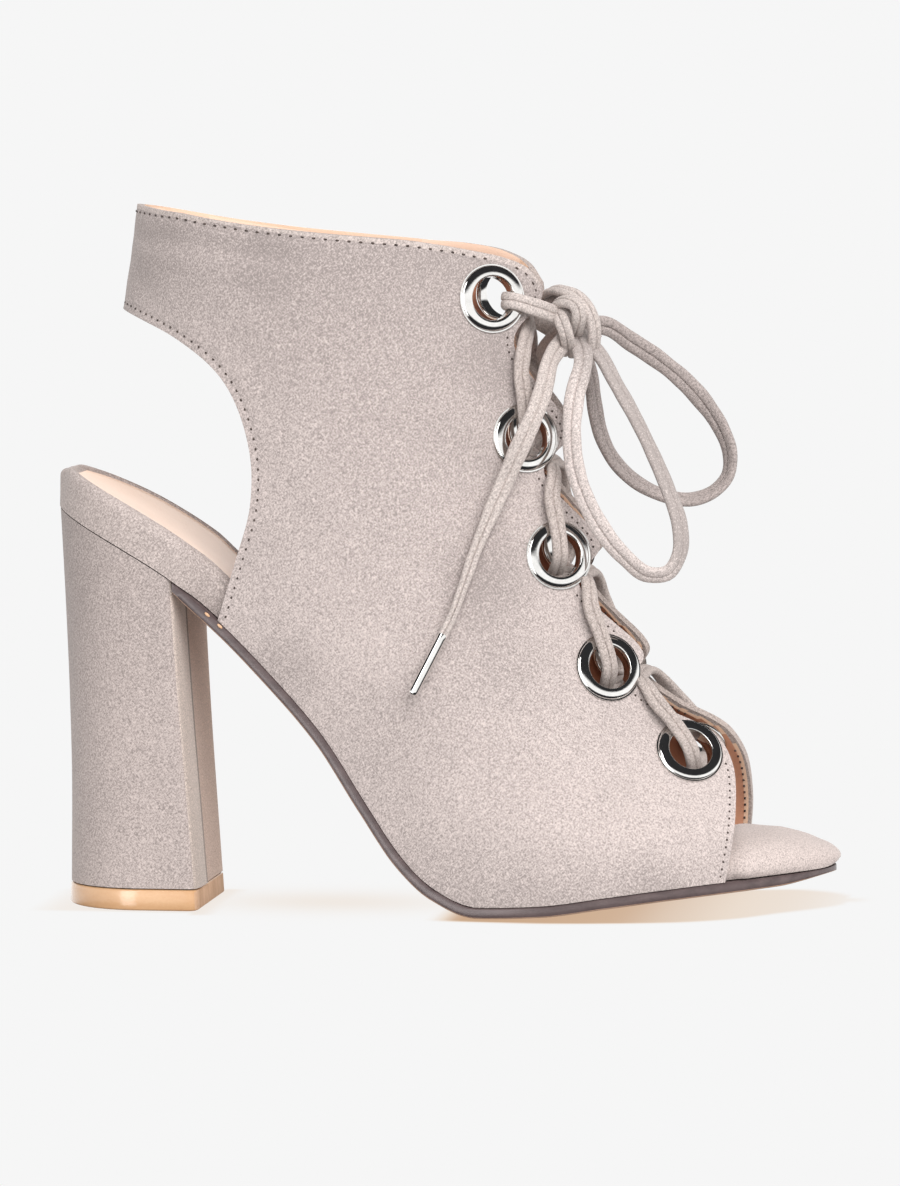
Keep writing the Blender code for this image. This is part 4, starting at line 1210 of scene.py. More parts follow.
def side_nearness(tree, patch):
    """Soft spot of 1 at a place of the side view, running out to 0 at its reach."""
    inputs = {0: object_place(tree), 1: (1.0, 0.0, 1.0)}
    side_view = add_node(tree, "VectorMath", inputs, operation="MULTIPLY")
    ends = {0: side_view.outputs["Vector"], 1: world(patch.x, 0.0, patch.z)}
    away = add_node(tree, "VectorMath", ends, operation="DISTANCE")
    inputs = {"Value": away.outputs["Value"], "From Min": patch.reach * MM, "From Max": 0.0}
    return add_node(tree, "MapRange", inputs, interpolation_type="SMOOTHSTEP").outputs["Result"]


def suede(name, mid, shades, patches):
    """Napped faux suede: soft clouds and short fibres brushed two ways, with tone darker or lighter along directions
    (painted light and shade on the upper, heel, footbed and lace loop) and soft patches of darker or lighter tone.
    """
    material, tree, shader = new_material(name, roughness=0.95, specular=0.15)
    layers = []
    for layer in NAP_LAYERS:
        stretch = (1.0, 1.0, layer.stretch)
        layers.append(noise(tree, layer.scale, layer.detail, stretch, (0.0, layer.turn, 0.0)))
    clouds, _, falling, rising = layers
    slopes = [slope_share(tree, shade.way, shade.start, shade.end) for shade in shades]
    spots = [side_nearness(tree, patch) for patch in patches]
    weights = [row.weight for row in (*NAP_LAYERS, *shades, *patches)]
    tone = blend_sum(tree, layers + slopes + spots, weights)
    dark = [value * (1 - NAP_SPREAD) for value in mid]
    light = [value * (1 + NAP_SPREAD) for value in mid]
    set_inputs(tree, shader, {
        "Base Color": ramp(tree, tone, NAP_STOPS, (dark, mid, light)),
        "Sheen Weight": SHEEN,
        "Sheen Roughness": SHEEN_ROUGHNESS,
        "Sheen Tint": SHEEN_TINT,
    })
    bump(tree, shader, ((clouds, *CLOUD_BUMP), (falling, *FIBRE_BUMP), (rising, *FIBRE_BUMP)))
    return material


def shoe_lining(name):
    """Smooth lining with painted light and shade: dark brown painted shade inside the shoe, lighter where the open toe
    lets the light in, pale peach in the lit band along the collar.
    """
    material, tree, shader = new_material(name, roughness=0.5, specular=0.3)
    collar = slope_share(tree, (COLLAR_FALL, 0.0, 1.0), COLLAR_LIT_BAND[0] * MM, COLLAR_LIT_BAND[1] * MM)
    front = slope_share(tree, (1.0, 0.0, 0.0), *(world(x, 0, 0).x for x in TOE_LIGHT))
    clouds = noise(tree, LINING_CLOUDS)
    tone = blend_sum(tree, (collar, front, clouds), LINING_WEIGHTS)
    colour = ramp(tree, tone, LINING_STOPS, (LINING_SHADE, LINING_TOE_LIT, LINING_COLLAR_LIT))
    set_inputs(tree, shader, {"Base Color": colour})
    pores = noise(tree, LEATHER.specks)
    bump(tree, shader, ((clouds, *LEATHER.bump), (pores, *LEATHER.speck_bump)))
    return material


def grained(name, dark, light, roughness, coat, stretch, grain):
    """Smooth material with soft clouds or streaks of tone and fine pores or specks."""
    material, tree, shader = new_material(name, roughness)
    clouds = noise(tree, grain.scale, grain.detail, stretch)
    specks = noise(tree, grain.specks)
    tone = blend_sum(tree, (clouds, specks), grain.weights)
    set_inputs(tree, shader, {
        "Base Color": ramp(tree, tone, grain.stops, (dark, light)),
        "Coat Weight": coat,
        "Coat Roughness": grain.coat_roughness,
    })
    bump(tree, shader, ((clouds, *grain.bump), (specks, *grain.speck_bump)))
    return material


def polished_metal(name):
    """Polished nickel with faint hairlines and handling haze."""
    material, tree, shader = new_material(name, roughness=0.08, metallic=1.0)
    haze = noise(tree, METAL_HAZE, detail=3.0)
    lines = noise(tree, METAL_LINES, detail=1.0, stretch=METAL_LINE_STRETCH)
    tone = blend_sum(tree, (haze, lines), METAL_WEIGHTS)
    inputs = {"Value": haze, "To Min": METAL_ROUGHNESS[0], "To Max": METAL_ROUGHNESS[1]}
    rough = add_node(tree, "MapRange", inputs).outputs["Result"]
    colour = ramp(tree, tone, METAL_STOPS, METAL_TONES)
    set_inputs(tree, shader, {"Base Color": colour, "Roughness": rough})
    bump(tree, shader, ((lines, *METAL_BUMP),))
    return material


def thread_material(name):
    """Dark twisted thread."""
    material, tree, shader = new_material(name, roughness=0.7)
    twist = noise(tree, THREAD_TWIST, detail=1.0, stretch=THREAD_STRETCH, turn=THREAD_TURN)
    set_inputs(tree, shader, {"Base Color": ramp(tree, twist, THREAD_STOPS, THREAD_TONES)})
    bump(tree, shader, ((twist, *THREAD_BUMP),))
    return material


# Mesh helpers

def add_piece(name, mesh, materials, slot, nodes=()):
    """Puts a mesh in the scene as a piece of the shoe."""
    thing = bpy.data.objects.new(name, mesh)
    bpy.context.scene.collection.objects.link(thing)
    for material in materials:
        mesh.materials.append(material)
    shade_smooth(mesh)
    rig.ride(thing, BODY_NAME)
    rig.slot(thing, slot)
    if nodes:
        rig.replaces(thing, *nodes)
    return thing


def shade_smooth(mesh):
    """Smooth shading with sharp edges kept."""
    mesh.shade_smooth()
    mesh.set_sharp_from_angle(angle=math.radians(SMOOTH_ANGLE))


def to_mesh(name, shape):
    bmesh.ops.remove_doubles(shape, verts=shape.verts, dist=WELD)
    bmesh.ops.dissolve_degenerate(shape, edges=shape.edges, dist=WELD)
    bmesh.ops.recalc_face_normals(shape, faces=shape.faces)
    mesh = bpy.data.meshes.new(name)
    shape.to_mesh(mesh)
    shape.free()
    return mesh


def add_grid(shape, rows, closed=False, capped=False):
    """Skin over rows of points; a closed row joins its last point to its first."""
    made = [[shape.verts.new(place) for place in row] for row in rows]
    for first, second in zip(made, made[1:]):
        columns = len(first) if closed else len(first) - 1
        for i in range(columns):
            j = (i + 1) % len(first)
            shape.faces.new((first[i], first[j], second[j], second[i]))
    if capped:
        shape.faces.new(made[0])
        shape.faces.new(made[-1])


def grid_mesh(name, rows, closed=False, capped=False):
    shape = bmesh.new()
    add_grid(shape, rows, closed, capped)
    return to_mesh(name, shape)


def ring(centre, across, up, radius, steps):
    """Points of a circle round a centre, in the plane of two directions."""
    angles = [2 * math.pi * step / steps for step in range(steps)]
    return [centre + radius * (math.cos(angle) * across + math.sin(angle) * up) for angle in angles]


def freeze(thing):
    """Turns a piece's modifiers into its mesh."""
    bpy.context.view_layer.update()
    depsgraph = bpy.context.evaluated_depsgraph_get()
    mesh = bpy.data.meshes.new_from_object(thing.evaluated_get(depsgraph))
    thing.modifiers.clear()
    thing.data = mesh


def eased_stations(start, end, count, round_start, round_end):
    """Stations along the sole, closer together at a rounded end."""
    shares = []
    for i in range(count + 1):
        u = i / count
        low = (1 - math.cos(math.pi * u)) / 2
        early = low if round_start else u
        late = low if round_end else u
        shares.append(early * (1 - u) + late * u)
    return [start + (end - start) * share for share in shares]


def quarter_round(across, up, run, rise, steps=5):
    """Points of a rounded edge whose corner would be at (across, up), from its side to its flat."""
    points = []
    for i in range(steps + 1):
        angle = math.pi / 2 * i / steps
        points.append((across - run * (1 - math.cos(angle)), up - rise * (1 - math.sin(angle))))
    return points


# Sole, footbed, sock and heel

def build_outsole(edge_material, tread_material):
    begin = HEEL[-1].breast + GAP
    rows = []
    for x in eased_stations(begin, LENGTH - SOLE_TOE_SHORT, SOLE_ROWS, False, True):
        half = outsole_half(x)
        lean = min((x - begin) / SOLE_END_RUN, 1.0)
        dx, dz = sole_normal(x, lean)
        roll = min(SOLE_ROLL, half / 2)
        thin = 1 - SOLE_TIP_THIN * smooth_step(x, LENGTH - SOLE_TIP_RUN, LENGTH)
        underside = quarter_round(half, 0.0, roll, (SOLE_BAND - SOLE_THICKNESS) * thin)
        side = [(max(half - SOLE_EDGE_CUT, 0.0), 0.0), (half, -SOLE_EDGE_CUT)]
        side += [(across, up - SOLE_THICKNESS * thin) for across, up in underside]
        belly = table_value(SOLE_BELLY, "belly", x) * min(half / CROWN_RUN, 1.0)
        for share in BELLY_SHARES:
            side.append(((half - roll) * share, -SOLE_THICKNESS * thin - belly * (1 - share ** 2)))
        loop = side + [(-across, up) for across, up in reversed(side[:-1])] + [(0.0, 0.0)]
        rows.append([world(x + dx * up, middle(x) + across, feather(x) + dz * up) for across, up in loop])
    mesh = grid_mesh("outsole_fine", rows, closed=True, capped=True)
    thing = add_piece("outsole_fine", mesh, (edge_material, tread_material), "outsole", ("outsole",))
    for face in mesh.polygons:
        if face.normal.z < TREAD_FACING:
            face.material_index = 1
    return thing


def outsole_half(x):
    """Half width of the outsole, whose toe ends a little behind the cushion's."""
    run = LENGTH - SOLE_TOE_SHORT - CUSHION_START
    return sole_half(x + SOLE_TOE_SHORT * max(x - CUSHION_START, 0.0) / run)


def build_glue(material):
    """Small dried specks of glue where the upper's back corner meets the sole."""
    shape = bmesh.new()
    for speck in GLUE_SPECKS:
        x, up = speck
        dx, dz = sole_normal(x)
        place = Matrix.Translation(world(x + dx * up, middle(x) - outsole_half(x), feather(x) + dz * up))
        turn = Matrix.Rotation(math.atan2(dx, dz), 4, "Y")
        size = Matrix.Diagonal((*(value * MM for value in GLUE_SIZE), 1.0))
        bmesh.ops.create_icosphere(shape, subdivisions=2, radius=1.0, matrix=place @ turn @ size)
    mesh = to_mesh("glue_specks", shape)
    return add_piece("glue_specks", mesh, (material,), "outsole")


def footbed_half(x):
    return sole_half(x, table_value(FOOTBED, "inset", x))


def footbed_place(x, across, height):
    """Point of the footbed at a distance across from the middle and a height over the feather line."""
    dx, dz = sole_normal(x, table_value(FOOTBED, "lean", x))
    return world(x + dx * height, middle(x) + across, feather(x) + dz * height)


def footbed_crown(x, across, half):
    """Rise of the footbed's top towards its middle, running out at the two ends."""
    share = min(abs(across) / max(half, 1e-6), 1.0)
    return table_value(FOOTBED, "crown", x) * (1 - share ** 2) * min(half / CROWN_RUN, 1.0)


def footbed_stations():
    return eased_stations(FOOTBED[0].inset, LENGTH - FOOTBED[-1].inset, SOLE_ROWS, True, True)


def sock_bed_half(x):
    """Half width of the footbed's top inside its rim."""
    inset = table_value(FOOTBED, "inset", x) + SOCK_RIM
    if not inset < x < LENGTH - inset:
        return 0.0
    return sole_half(x, inset)


def sock_recess(x):
    """Depth of the recess for the sock, running out at the back of the heel seat."""
    return table_value(FOOTBED, "recess", x) * min(sock_bed_half(x) / (3 * SOCK_RIM), 1.0)


def footbed_section(x):
    """Half of the footbed's section, from its foot at the side over the edge to the middle."""
    half = footbed_half(x)
    height = table_value(FOOTBED, "height", x)
    rim = max(sock_bed_half(x), half / 2)
    recess = sock_recess(x)
    soft = smooth_step(x, CUSHION_START, CUSHION_FULL)
    edge = max(half - FOOTBED_EDGE_ROUND, FOOTBED_LIP_SHARE * half)
    lip = min(edge, half - soft * min(CUSHION_ROUND, half / 2))
    rise = FOOTBED_EDGE_DROP + soft * (height - GAP - CUSHION_BELLY - FOOTBED_EDGE_DROP)
    belly = [
        (half - soft * min(CUSHION_TUCK, half / 4), GAP),
        (half - soft * min(CUSHION_TUCK_MID, half / 8), GAP + CUSHION_BELLY / 2),
    ]
    section = belly + quarter_round(half, height, half - lip, rise)
    rim = min(rim, lip - RIM_LEAST * min(half, 1.0))
    section.append(((lip + rim) / 2, height + RIM_SWELL * (1 - soft)))
    section.append((rim + RIM_EDGE * (1 - soft), height))
    section.append((rim, height - RIM_EDGE * (1 - soft)))
    for share in BED_SHARES:
        section.append((rim * share, height - recess + footbed_crown(x, rim * share, rim)))
    level = GAP + CUSHION_BELLY
    crest = height + footbed_crown(x, 0.0, rim) - level
    for i in range(len(belly), len(section)):
        across, up = section[i]
        share = min(across / max(half, 1e-6), 1.0)
        dome = level + crest * (1 - share ** CUSHION_POWER) ** (1 / CUSHION_POWER)
        section[i] = (across, up + (dome - up) * soft)
    nose = max(x - LENGTH + FOOTBED[-1].inset + CUSHION_NOSE, 0.0) / CUSHION_NOSE
    flat = math.sqrt(max(1 - nose ** 2, 0.0))
    tail = max(FOOTBED[0].inset + HEEL_SEAT_RUN - x, 0.0) / HEEL_SEAT_RUN
    drop = HEEL_SEAT_DROP * (1 - math.sqrt(max(1 - tail ** 2, 0.0))) / height
    return [(across, (level + (up - level) * flat) * (1 - drop)) for across, up in section]


def build_footbed(material):
    rows = []
    for x in footbed_stations():
        section = footbed_section(x)
        left = [(-across, up) for across, up in reversed(section[:-1])]
        half, foot = section[0]
        loop = section + left + [(-half / 2, foot), (half / 2, foot)]
        rows.append([footbed_place(x, across, up) for across, up in loop])
    mesh = grid_mesh("footbed_cover", rows, closed=True)
    return add_piece("footbed_cover", mesh, (material,), "suede", ("footbed",))


def build_sock(material):
    shares = [math.sin(math.pi / 2 * i / SOCK_STEPS) for i in range(-SOCK_STEPS, SOCK_STEPS + 1)]
    rows = []
    for x in footbed_stations():
        if not SOCK_BACK < x < SOCK_FRONT:
            continue
        rim = sock_bed_half(x)
        height = table_value(FOOTBED, "height", x) - sock_recess(x) + GAP
        top, underside = [], []
        for share in shares:
            crown = footbed_crown(x, share * rim, footbed_half(x))
            thick = SOCK_THICKNESS * (1 - SOCK_EDGE_THIN * share ** SOCK_EDGE_POWER)
            across = share * rim * SOCK_FIT
            top.append(footbed_place(x, across, height + crown + thick))
            underside.append(footbed_place(x, across, height + crown))
        rows.append(top + underside[::-1])
    mesh = grid_mesh("sock_lining", rows, closed=True, capped=True)
    return add_piece("sock_lining", mesh, (material,), "lining", ("sock",))


def heel_share(i):
    """Share of the way from the breast to the back of point i, close together at the corner."""
    return math.sin(math.pi / 2 * i / HEEL_SIDE_POINTS) ** 2


def breast_relief(share):
    """Step of the cover's overlap down the breast: share runs from -1 outside to 1 inside."""
    groove = math.exp(-((share - BREAST_SEAM) / BREAST_GROOVE_WIDTH) ** 2)
    step = BREAST_OVERLAP / (1 + math.exp((share - BREAST_SEAM + BREAST_GROOVE_WIDTH) / BREAST_STEP_RUN))
    return step - BREAST_GROOVE * groove


def heel_ring(level):
    """Outline of the heel at one share of its height: outer side, back, inner side, breast."""
    back = table_value(HEEL, "back", level)
    breast = table_value(HEEL, "breast", level)
    half = table_value(HEEL, "half", level)
    straight = table_value(HEEL, "straight", level)
    foot = LIFT_THICKNESS + GAP
    side = []
    for i in range(HEEL_SIDE_POINTS + 1):
        share = heel_share(i)
        run = (breast - back) * share
        top_x = HEEL[-1].breast - (HEEL[-1].breast - HEEL[-1].back) * share
        past = max(share - straight, 0.0) / (1 - straight)
        across = half * math.sqrt(max(1 - past ** 2, 0.0))
        across += (sole_half(top_x, HEEL[-1].back) - across) * level ** 3
        corner = max(HEEL_CORNER - run, 0.0)
        across -= HEEL_CORNER - math.sqrt(HEEL_CORNER ** 2 - corner ** 2)
        side.append((breast - run, across, foot + (feather(top_x) - foot) * level))
    x, across, z = side[0]
    front = [(x + breast_relief(share), share * across, z) for share in BREAST_SHARES]
    outer = [(x, -across, z) for x, across, z in side]
    inner = [(x, across, z) for x, across, z in reversed(side[:-1])]
    return [world(x, middle(0.0) + across, z) for x, across, z in outer + inner + front]


def build_heel(side_suede, strip, seam, panel):
    """Heel with its cover's overlap down the breast: strip, seam and panel from the outside in; the strip is painted
    lighter for the bounce light on it and the seam's groove gets a painted shadow.
    """
    rings = [heel_ring(row / HEEL_ROWS) for row in range(HEEL_ROWS + 1)]
    mesh = grid_mesh("heel_cover", rings, closed=True, capped=True)
    thing = add_piece("heel_cover", mesh, (side_suede, strip, seam, panel), "suede", ("heel_block",))
    for face in mesh.polygons:
        level = face.center.z / MM / feather(HEEL[-1].breast)
        share = (face.center.y / MM - middle(0.0)) / table_value(HEEL, "half", level)
        behind = face.center.x < world(table_value(HEEL, "breast", level) - HEEL_CORNER, 0, 0).x
        turned = abs(share) > BREAST_EDGE and abs(face.normal.x) < FLAT_FACING
        if behind or turned or abs(face.normal.z) > FLAT_FACING:
            continue
        # Panel, painted shadow in the seam's groove, and the strip painted lighter
        if share > BREAST_SEAM + BREAST_SHADOW_REACH / 3:
            face.material_index = 3
        elif share > BREAST_SEAM - BREAST_SHADOW_REACH:
            face.material_index = 2
        else:
            face.material_index = 1
    return thing


def build_lift(side_material, front_material):
    """Heel's lift under the outline of its sides and back."""
    outline = heel_ring(0.0)[:2 * HEEL_SIDE_POINTS + 1]
    centre = sum(outline, Vector()) / len(outline)
    rings = []
    for level in LIFT_LEVELS:
        flat = [centre + (place - centre) * level.size for place in outline]
        rings.append([Vector((place.x, place.y, level.height * MM)) for place in flat])
    mesh = grid_mesh("heel_lift", rings, closed=True, capped=True)
    thing = add_piece("heel_lift", mesh, (side_material, front_material), "lift", ("top_lift",))
    for face in mesh.polygons:
        if face.normal.x > FLAT_FACING:
            face.material_index = 1
    return thing


# Upper, stitches and eyelets

def eyelet_frame(upper, number, side):
    """Place of an eyelet, its axis out of the skin of that side."""
    x, half, z = upper.skin(*EYELETS[number])
    along, out, up = upper.normal(*EYELETS[number])
    step = 1.0
    lean = (middle(x + step) - middle(x - step)) / (2 * step)
    place = world(*laid((x, side * half, z)))
    axis = Vector((along / out - side * lean, side, up / out))
    frame_turn = axis.to_track_quat("Z", "Y").to_matrix().to_4x4()
    return Matrix.Translation(place) @ frame_turn


def edge_line(upper, curves, side, lift):
    """Edges of one side in the side view, over or under the skin."""
    places = []
    for curve in curves:
        for share in np.linspace(0, 1, SEAM_SAMPLES):
            x, _, z = laid(upper.lifted(curve(share), side, lift))
            places.append((x, z))
    return np.array(places)


def trim_edges(mesh, upper):
    """Turned edge, in suede painted darker as shade, and pale bead of the lining along collar and throat; rolled band
    outside the collar, painted lighter where it catches the light.
    """
    linings, collars = {}, {}
    for _, side in SIDES:
        linings[side] = edge_line(upper, (upper.collar, upper.edge), side, -UPPER_WALL)
        collars[side] = edge_line(upper, (upper.collar,), side, 0.0)
    for face in mesh.polygons:
        x, y, z = np.array(face.center) / MM + (ORIGIN_STATION, 0.0, 0.0)
        side = 1 if y > middle(x) else -1
        if face.material_index == LINING_SIDE:
            away = np.linalg.norm(linings[side] - (x, z), axis=1)
            nearest = int(np.argmin(away))
            turned = TURNED_EDGE
            if nearest < SEAM_SAMPLES:
                turned = np.interp(x, COLLAR_TURNED_RUN, (0.0, TURNED_EDGE))
            if away[nearest] < turned:
                face.material_index = EDGE_SIDE
            elif away[nearest] < turned + BEAD:
                face.material_index = BEAD_SIDE
        elif face.material_index == 0 and z > COLLAR[-1].z:
            if np.min(np.linalg.norm(collars[side] - (x, z), axis=1)) < COLLAR_ROLL_LIT:
                face.material_index = LIT_ROLL_SIDE


def build_upper(upper, outside, lining, edge, bead, roll):
    """Both sides of the upper in one skin with its wall, holes cut and edges softened."""
    shape = bmesh.new()
    half_rows = [upper.row(share) for share in upper.rows]
    for _, side in SIDES:
        rows = []
        for points in half_rows:
            rows.append([shape.verts.new(world(*laid((x, side * half, z)))) for x, half, z in points])
        for first, second in zip(rows, rows[1:]):
            shared = min(len(first), len(second))
            first, second = first[-shared:], second[-shared:]
            for i in range(shared - 1):
                shape.faces.new((first[i], first[i + 1], second[i + 1], second[i]))
    mesh = to_mesh("upper_suede", shape)
    if sum(face.normal.y * face.center.y * face.area for face in mesh.polygons) < 0:
        mesh.flip_normals()
    thing = add_piece("upper_suede", mesh, (outside, lining, edge, bead, roll), "suede", ("upper",))
    wall = thing.modifiers.new("wall", "SOLIDIFY")
    wall.thickness = UPPER_WALL * MM
    wall.offset = -1
    wall.use_even_offset = False
    wall.material_offset = LINING_SIDE
    wall.material_offset_rim = EDGE_SIDE
    soften = thing.modifiers.new("soft_edge", "BEVEL")
    soften.limit_method = "ANGLE"
    soften.angle_limit = math.radians(UPPER_EDGE_ANGLE)
    soften.width = UPPER_EDGE_ROUND * MM
    soften.segments = UPPER_EDGE_STEPS
    cutters = build_eyelet_cutters(upper)
    for cutter in cutters:
        hole = thing.modifiers.new("hole", "BOOLEAN")
        hole.object = cutter
        hole.operation = "DIFFERENCE"
    freeze(thing)
    for cutter in cutters:
        bpy.data.objects.remove(cutter, do_unlink=True)
    trim_edges(thing.data, upper)
    shade_smooth(thing.data)
    return thing


def build_eyelet_cutters(upper):
    cutters = []
    for number in range(len(EYELETS)):
        for _, side in SIDES:
            shape = bmesh.new()
            bmesh.ops.create_cone(shape, cap_ends=True, segments=EYELET_STEPS, depth=HOLE_DEPTH * MM,
                                  radius1=HOLE_RADIUS * MM, radius2=HOLE_RADIUS * MM)
            cutter = bpy.data.objects.new("cutter", to_mesh("cutter", shape))
            cutter.matrix_world = eyelet_frame(upper, number, side)
            bpy.context.scene.collection.objects.link(cutter)
            cutters.append(cutter)
    return cutters


def eyelet_profile(flange):
    """Radius and height round the section of an eyelet: lip, bulge, mouth, barrel and washer."""
    washer_top = -UPPER_WALL
    washer_foot = -UPPER_WALL - EYELET_GAP - WASHER_THICKNESS
    bulge = flange - EYELET_LIP
    points = [
        (bulge, -EYELET_SUNK),
        (flange - EYELET_LIP_ROUND, -EYELET_SUNK),
        (flange, EYELET_LIP_HEIGHT / 2),
        (flange - EYELET_LIP_LEAN, EYELET_LIP_HEIGHT),
    ]
    for angle in np.linspace(0, math.pi / 2, EYELET_ROUND_STEPS + 1):
        points.append((EYELET_CREST + (bulge - EYELET_CREST) * math.cos(angle),
                       EYELET_LIP_HEIGHT + (EYELET_HEIGHT - EYELET_LIP_HEIGHT) * math.sin(angle)))
    for angle in np.linspace(0, math.pi / 2, EYELET_MOUTH_STEPS + 1):
        points.append((EYELET_INNER - (EYELET_INNER - EYELET_HOLE) * math.sin(angle),
                       EYELET_HEIGHT - EYELET_CONE - EYELET_MOUTH * (1 - math.cos(angle))))
    return points + [
        (EYELET_HOLE, washer_foot + BARREL_ROUND),
        (EYELET_HOLE + BARREL_ROUND, washer_foot),
        (WASHER_RADIUS - WASHER_ROUND, washer_foot),
        (WASHER_RADIUS, washer_foot + WASHER_ROUND),
        (WASHER_RADIUS, washer_top),
        (EYELET_BARREL, washer_top),
        (EYELET_BARREL, -EYELET_SUNK),
    ]


def build_eyelets(upper, metal):
    right, up, out = np.eye(3)
    for number in range(len(EYELETS)):
        for (side_name, side), flange in zip(SIDES, EYELET_FLANGES):
            profile = eyelet_profile(flange)
            turn = eyelet_frame(upper, number, side)
            rows = []
            for radius, height in profile + profile[:1]:
                places = ring(height * out, right, up, radius, EYELET_STEPS)
                rows.append([turn @ (Vector(place) * MM) for place in places])
            name = f"eyelet_{side_name}_{number + 1}"
            add_piece(f"{name}_ring", grid_mesh(name, rows, closed=True), (metal,), "nickel", (name,))


def stitch_shape(shape, centre, along, out, length):
    """One stitch: a short thread that dips into the suede at both ends."""
    across = np.cross(out, along)
    rows = []
    for u in np.linspace(-1, 1, STITCH_ROWS):
        radius = STITCH_THICKNESS / 2 * math.sqrt(max(1 - u ** 4, STITCH_TIP))
        spine = centre + along * u * length / 2 - out * STITCH_DIP * u * u
        rows.append([Vector(place) * MM for place in ring(spine, across, out, radius, STITCH_SIDES)])
    add_grid(shape, rows, closed=True, capped=True)


def build_stitches(upper, thread):
    """Stitches on the suede, and on the lining's side of the throat, with none under an eyelet."""
    seams = [(line, seam, 0.0) for line, seam in upper.seams]
    seams.append((upper.seams[1][0], THROAT_SEAM, -UPPER_WALL))
    seams = [(line[::STITCH_SKIP], seam, lift) for line, seam, lift in seams]
    for (side_name, side), flange in zip(SIDES, EYELET_FLANGES):
        shape = bmesh.new()
        frames = [eyelet_frame(upper, number, side) for number in range(len(EYELETS))]
        eyelets = [np.array(turn.translation) / MM for turn in frames]
        for line, seam, lift in seams:
            places = []
            for x, z in line:
                px, half, pz = upper.dressed(np.array((x, z))) + lift * upper.normal(x, z)
                places.append(laid((px, side * half, pz)) - (ORIGIN_STATION, 0.0, 0.0))
            curve = EdgeCurve(places)
            count = int(curve.along[-1] / seam.pitch)
            nudge = STITCH_NUDGE / curve.along[-1]
            for i in range(count):
                share = (i + 0.5) / count
                centre = curve(share)
                if min(np.linalg.norm(centre - eyelet) for eyelet in eyelets) < flange + seam.length:
                    continue
                along = unit(curve(share + nudge) - curve(share - nudge))
                nearest = np.argmin(np.linalg.norm(curve.points - centre, axis=1))
                out = upper.facing(line[nearest], side) * (-1 if lift < 0 else 1)
                out = unit(out - (out @ along) * along)
                stitch_shape(shape, centre, along, out, seam.length)
        add_piece(f"stitches_{side_name}", to_mesh("stitches", shape), (thread,), "suede")


# Lace

def lace_section():
    """Outline of the lace in shares of half its width and thickness: two soft ridges beside a seam."""
    places = LACE_SPREAD + (0.0,) + tuple(-across for across in reversed(LACE_SPREAD))
    face, back = [], []
    for across in places:
        round_up = (1 - abs(across) ** LACE_POWER) ** (1 / LACE_POWER)
        seam = LACE_SEAM * math.exp(-(across / LACE_SEAM_WIDTH) ** 2)
        dip = LACE_DIP * math.exp(-(across / LACE_DIP_WIDTH) ** 2)
        face.append((across, round_up - seam - dip))
        back.append((across, -round_up))
    return face + back[-2:0:-1]


def lace_places(points):
    """Close, even places on a smooth curve through a route."""
    curve = EdgeCurve(points)
    count = max(round(curve.along[-1] / LACE_STEP), LACE_LEAST_STEPS)
    return curve, np.array([curve(i / count) for i in range(count + 1)])


def sweep_lace(shape, points, faces, widths=LACE_WIDTH):
    """Adds a lace along a route, with the way its flat side looks and its width at each point."""
    curve, places = lace_places(points)
    widths = np.broadcast_to(widths, len(points))
    ways = np.gradient(curve.points, curve.along, axis=0)
    sides = np.cross(np.array(faces, float), ways)
    lengths = np.linalg.norm(sides, axis=1)
    good = lengths > LACE_LEAST_TURN
    first = int(np.argmax(good))
    for i in list(range(first, len(sides))) + list(range(first - 1, -1, -1)):
        if good[i]:
            sides[i] /= lengths[i]
        else:
            sides[i] = sides[i - 1] if i > first else sides[i + 1]
        if i > first and sides[i] @ sides[i - 1] < 0:
            sides[i] = -sides[i]
    shares = curve.along / curve.along[-1]
    tangents = np.gradient(places, axis=0)
    rows = []
    for i, (place, way) in enumerate(zip(places, tangents)):
        share = i / (len(places) - 1)
        way = unit(way)
        side = np.array([np.interp(share, shares, sides[:, axis]) for axis in range(3)])
        side = unit(side - (side @ way) * way)
        out = np.cross(way, side)
        width = np.interp(share, shares, widths)
        width *= 1 + sum(wave.share * math.sin(i * LACE_STEP / wave.run) for wave in LACE_WAVES)
        thickness = min(LACE_THICKNESS, width)
        row = []
        for across, up in lace_section():
            spot = place + side * across * width / 2 + out * up * thickness / 2
            row.append(world(*spot))
        rows.append(row)
    add_grid(shape, rows, closed=True, capped=True)
    return [tuple(world(*place)) for place in places]


def lace_piece(piece, routes, material, node=None):
    """Piece made of laces, each a route with its facings and widths, and the path of the last one."""
    shape = bmesh.new()
    for route in routes:
        path = sweep_lace(shape, *route)
    nodes = (node,) if node else ()
    return add_piece(piece, to_mesh(node or piece, shape), (material,), "lace", nodes), path


def strand_start(upper, row):
    """Where a row's strands begin inside the shoe: behind the lead, or past the eyelet they came in by."""
    if row == 0:
        return np.array((LEAD[0].x, LEAD[0].z))
    eyelet = np.array(EYELETS[row])
    return eyelet + STRAND_PAST * unit(eyelet - upper.edge(upper.notch_share(row - 1)))


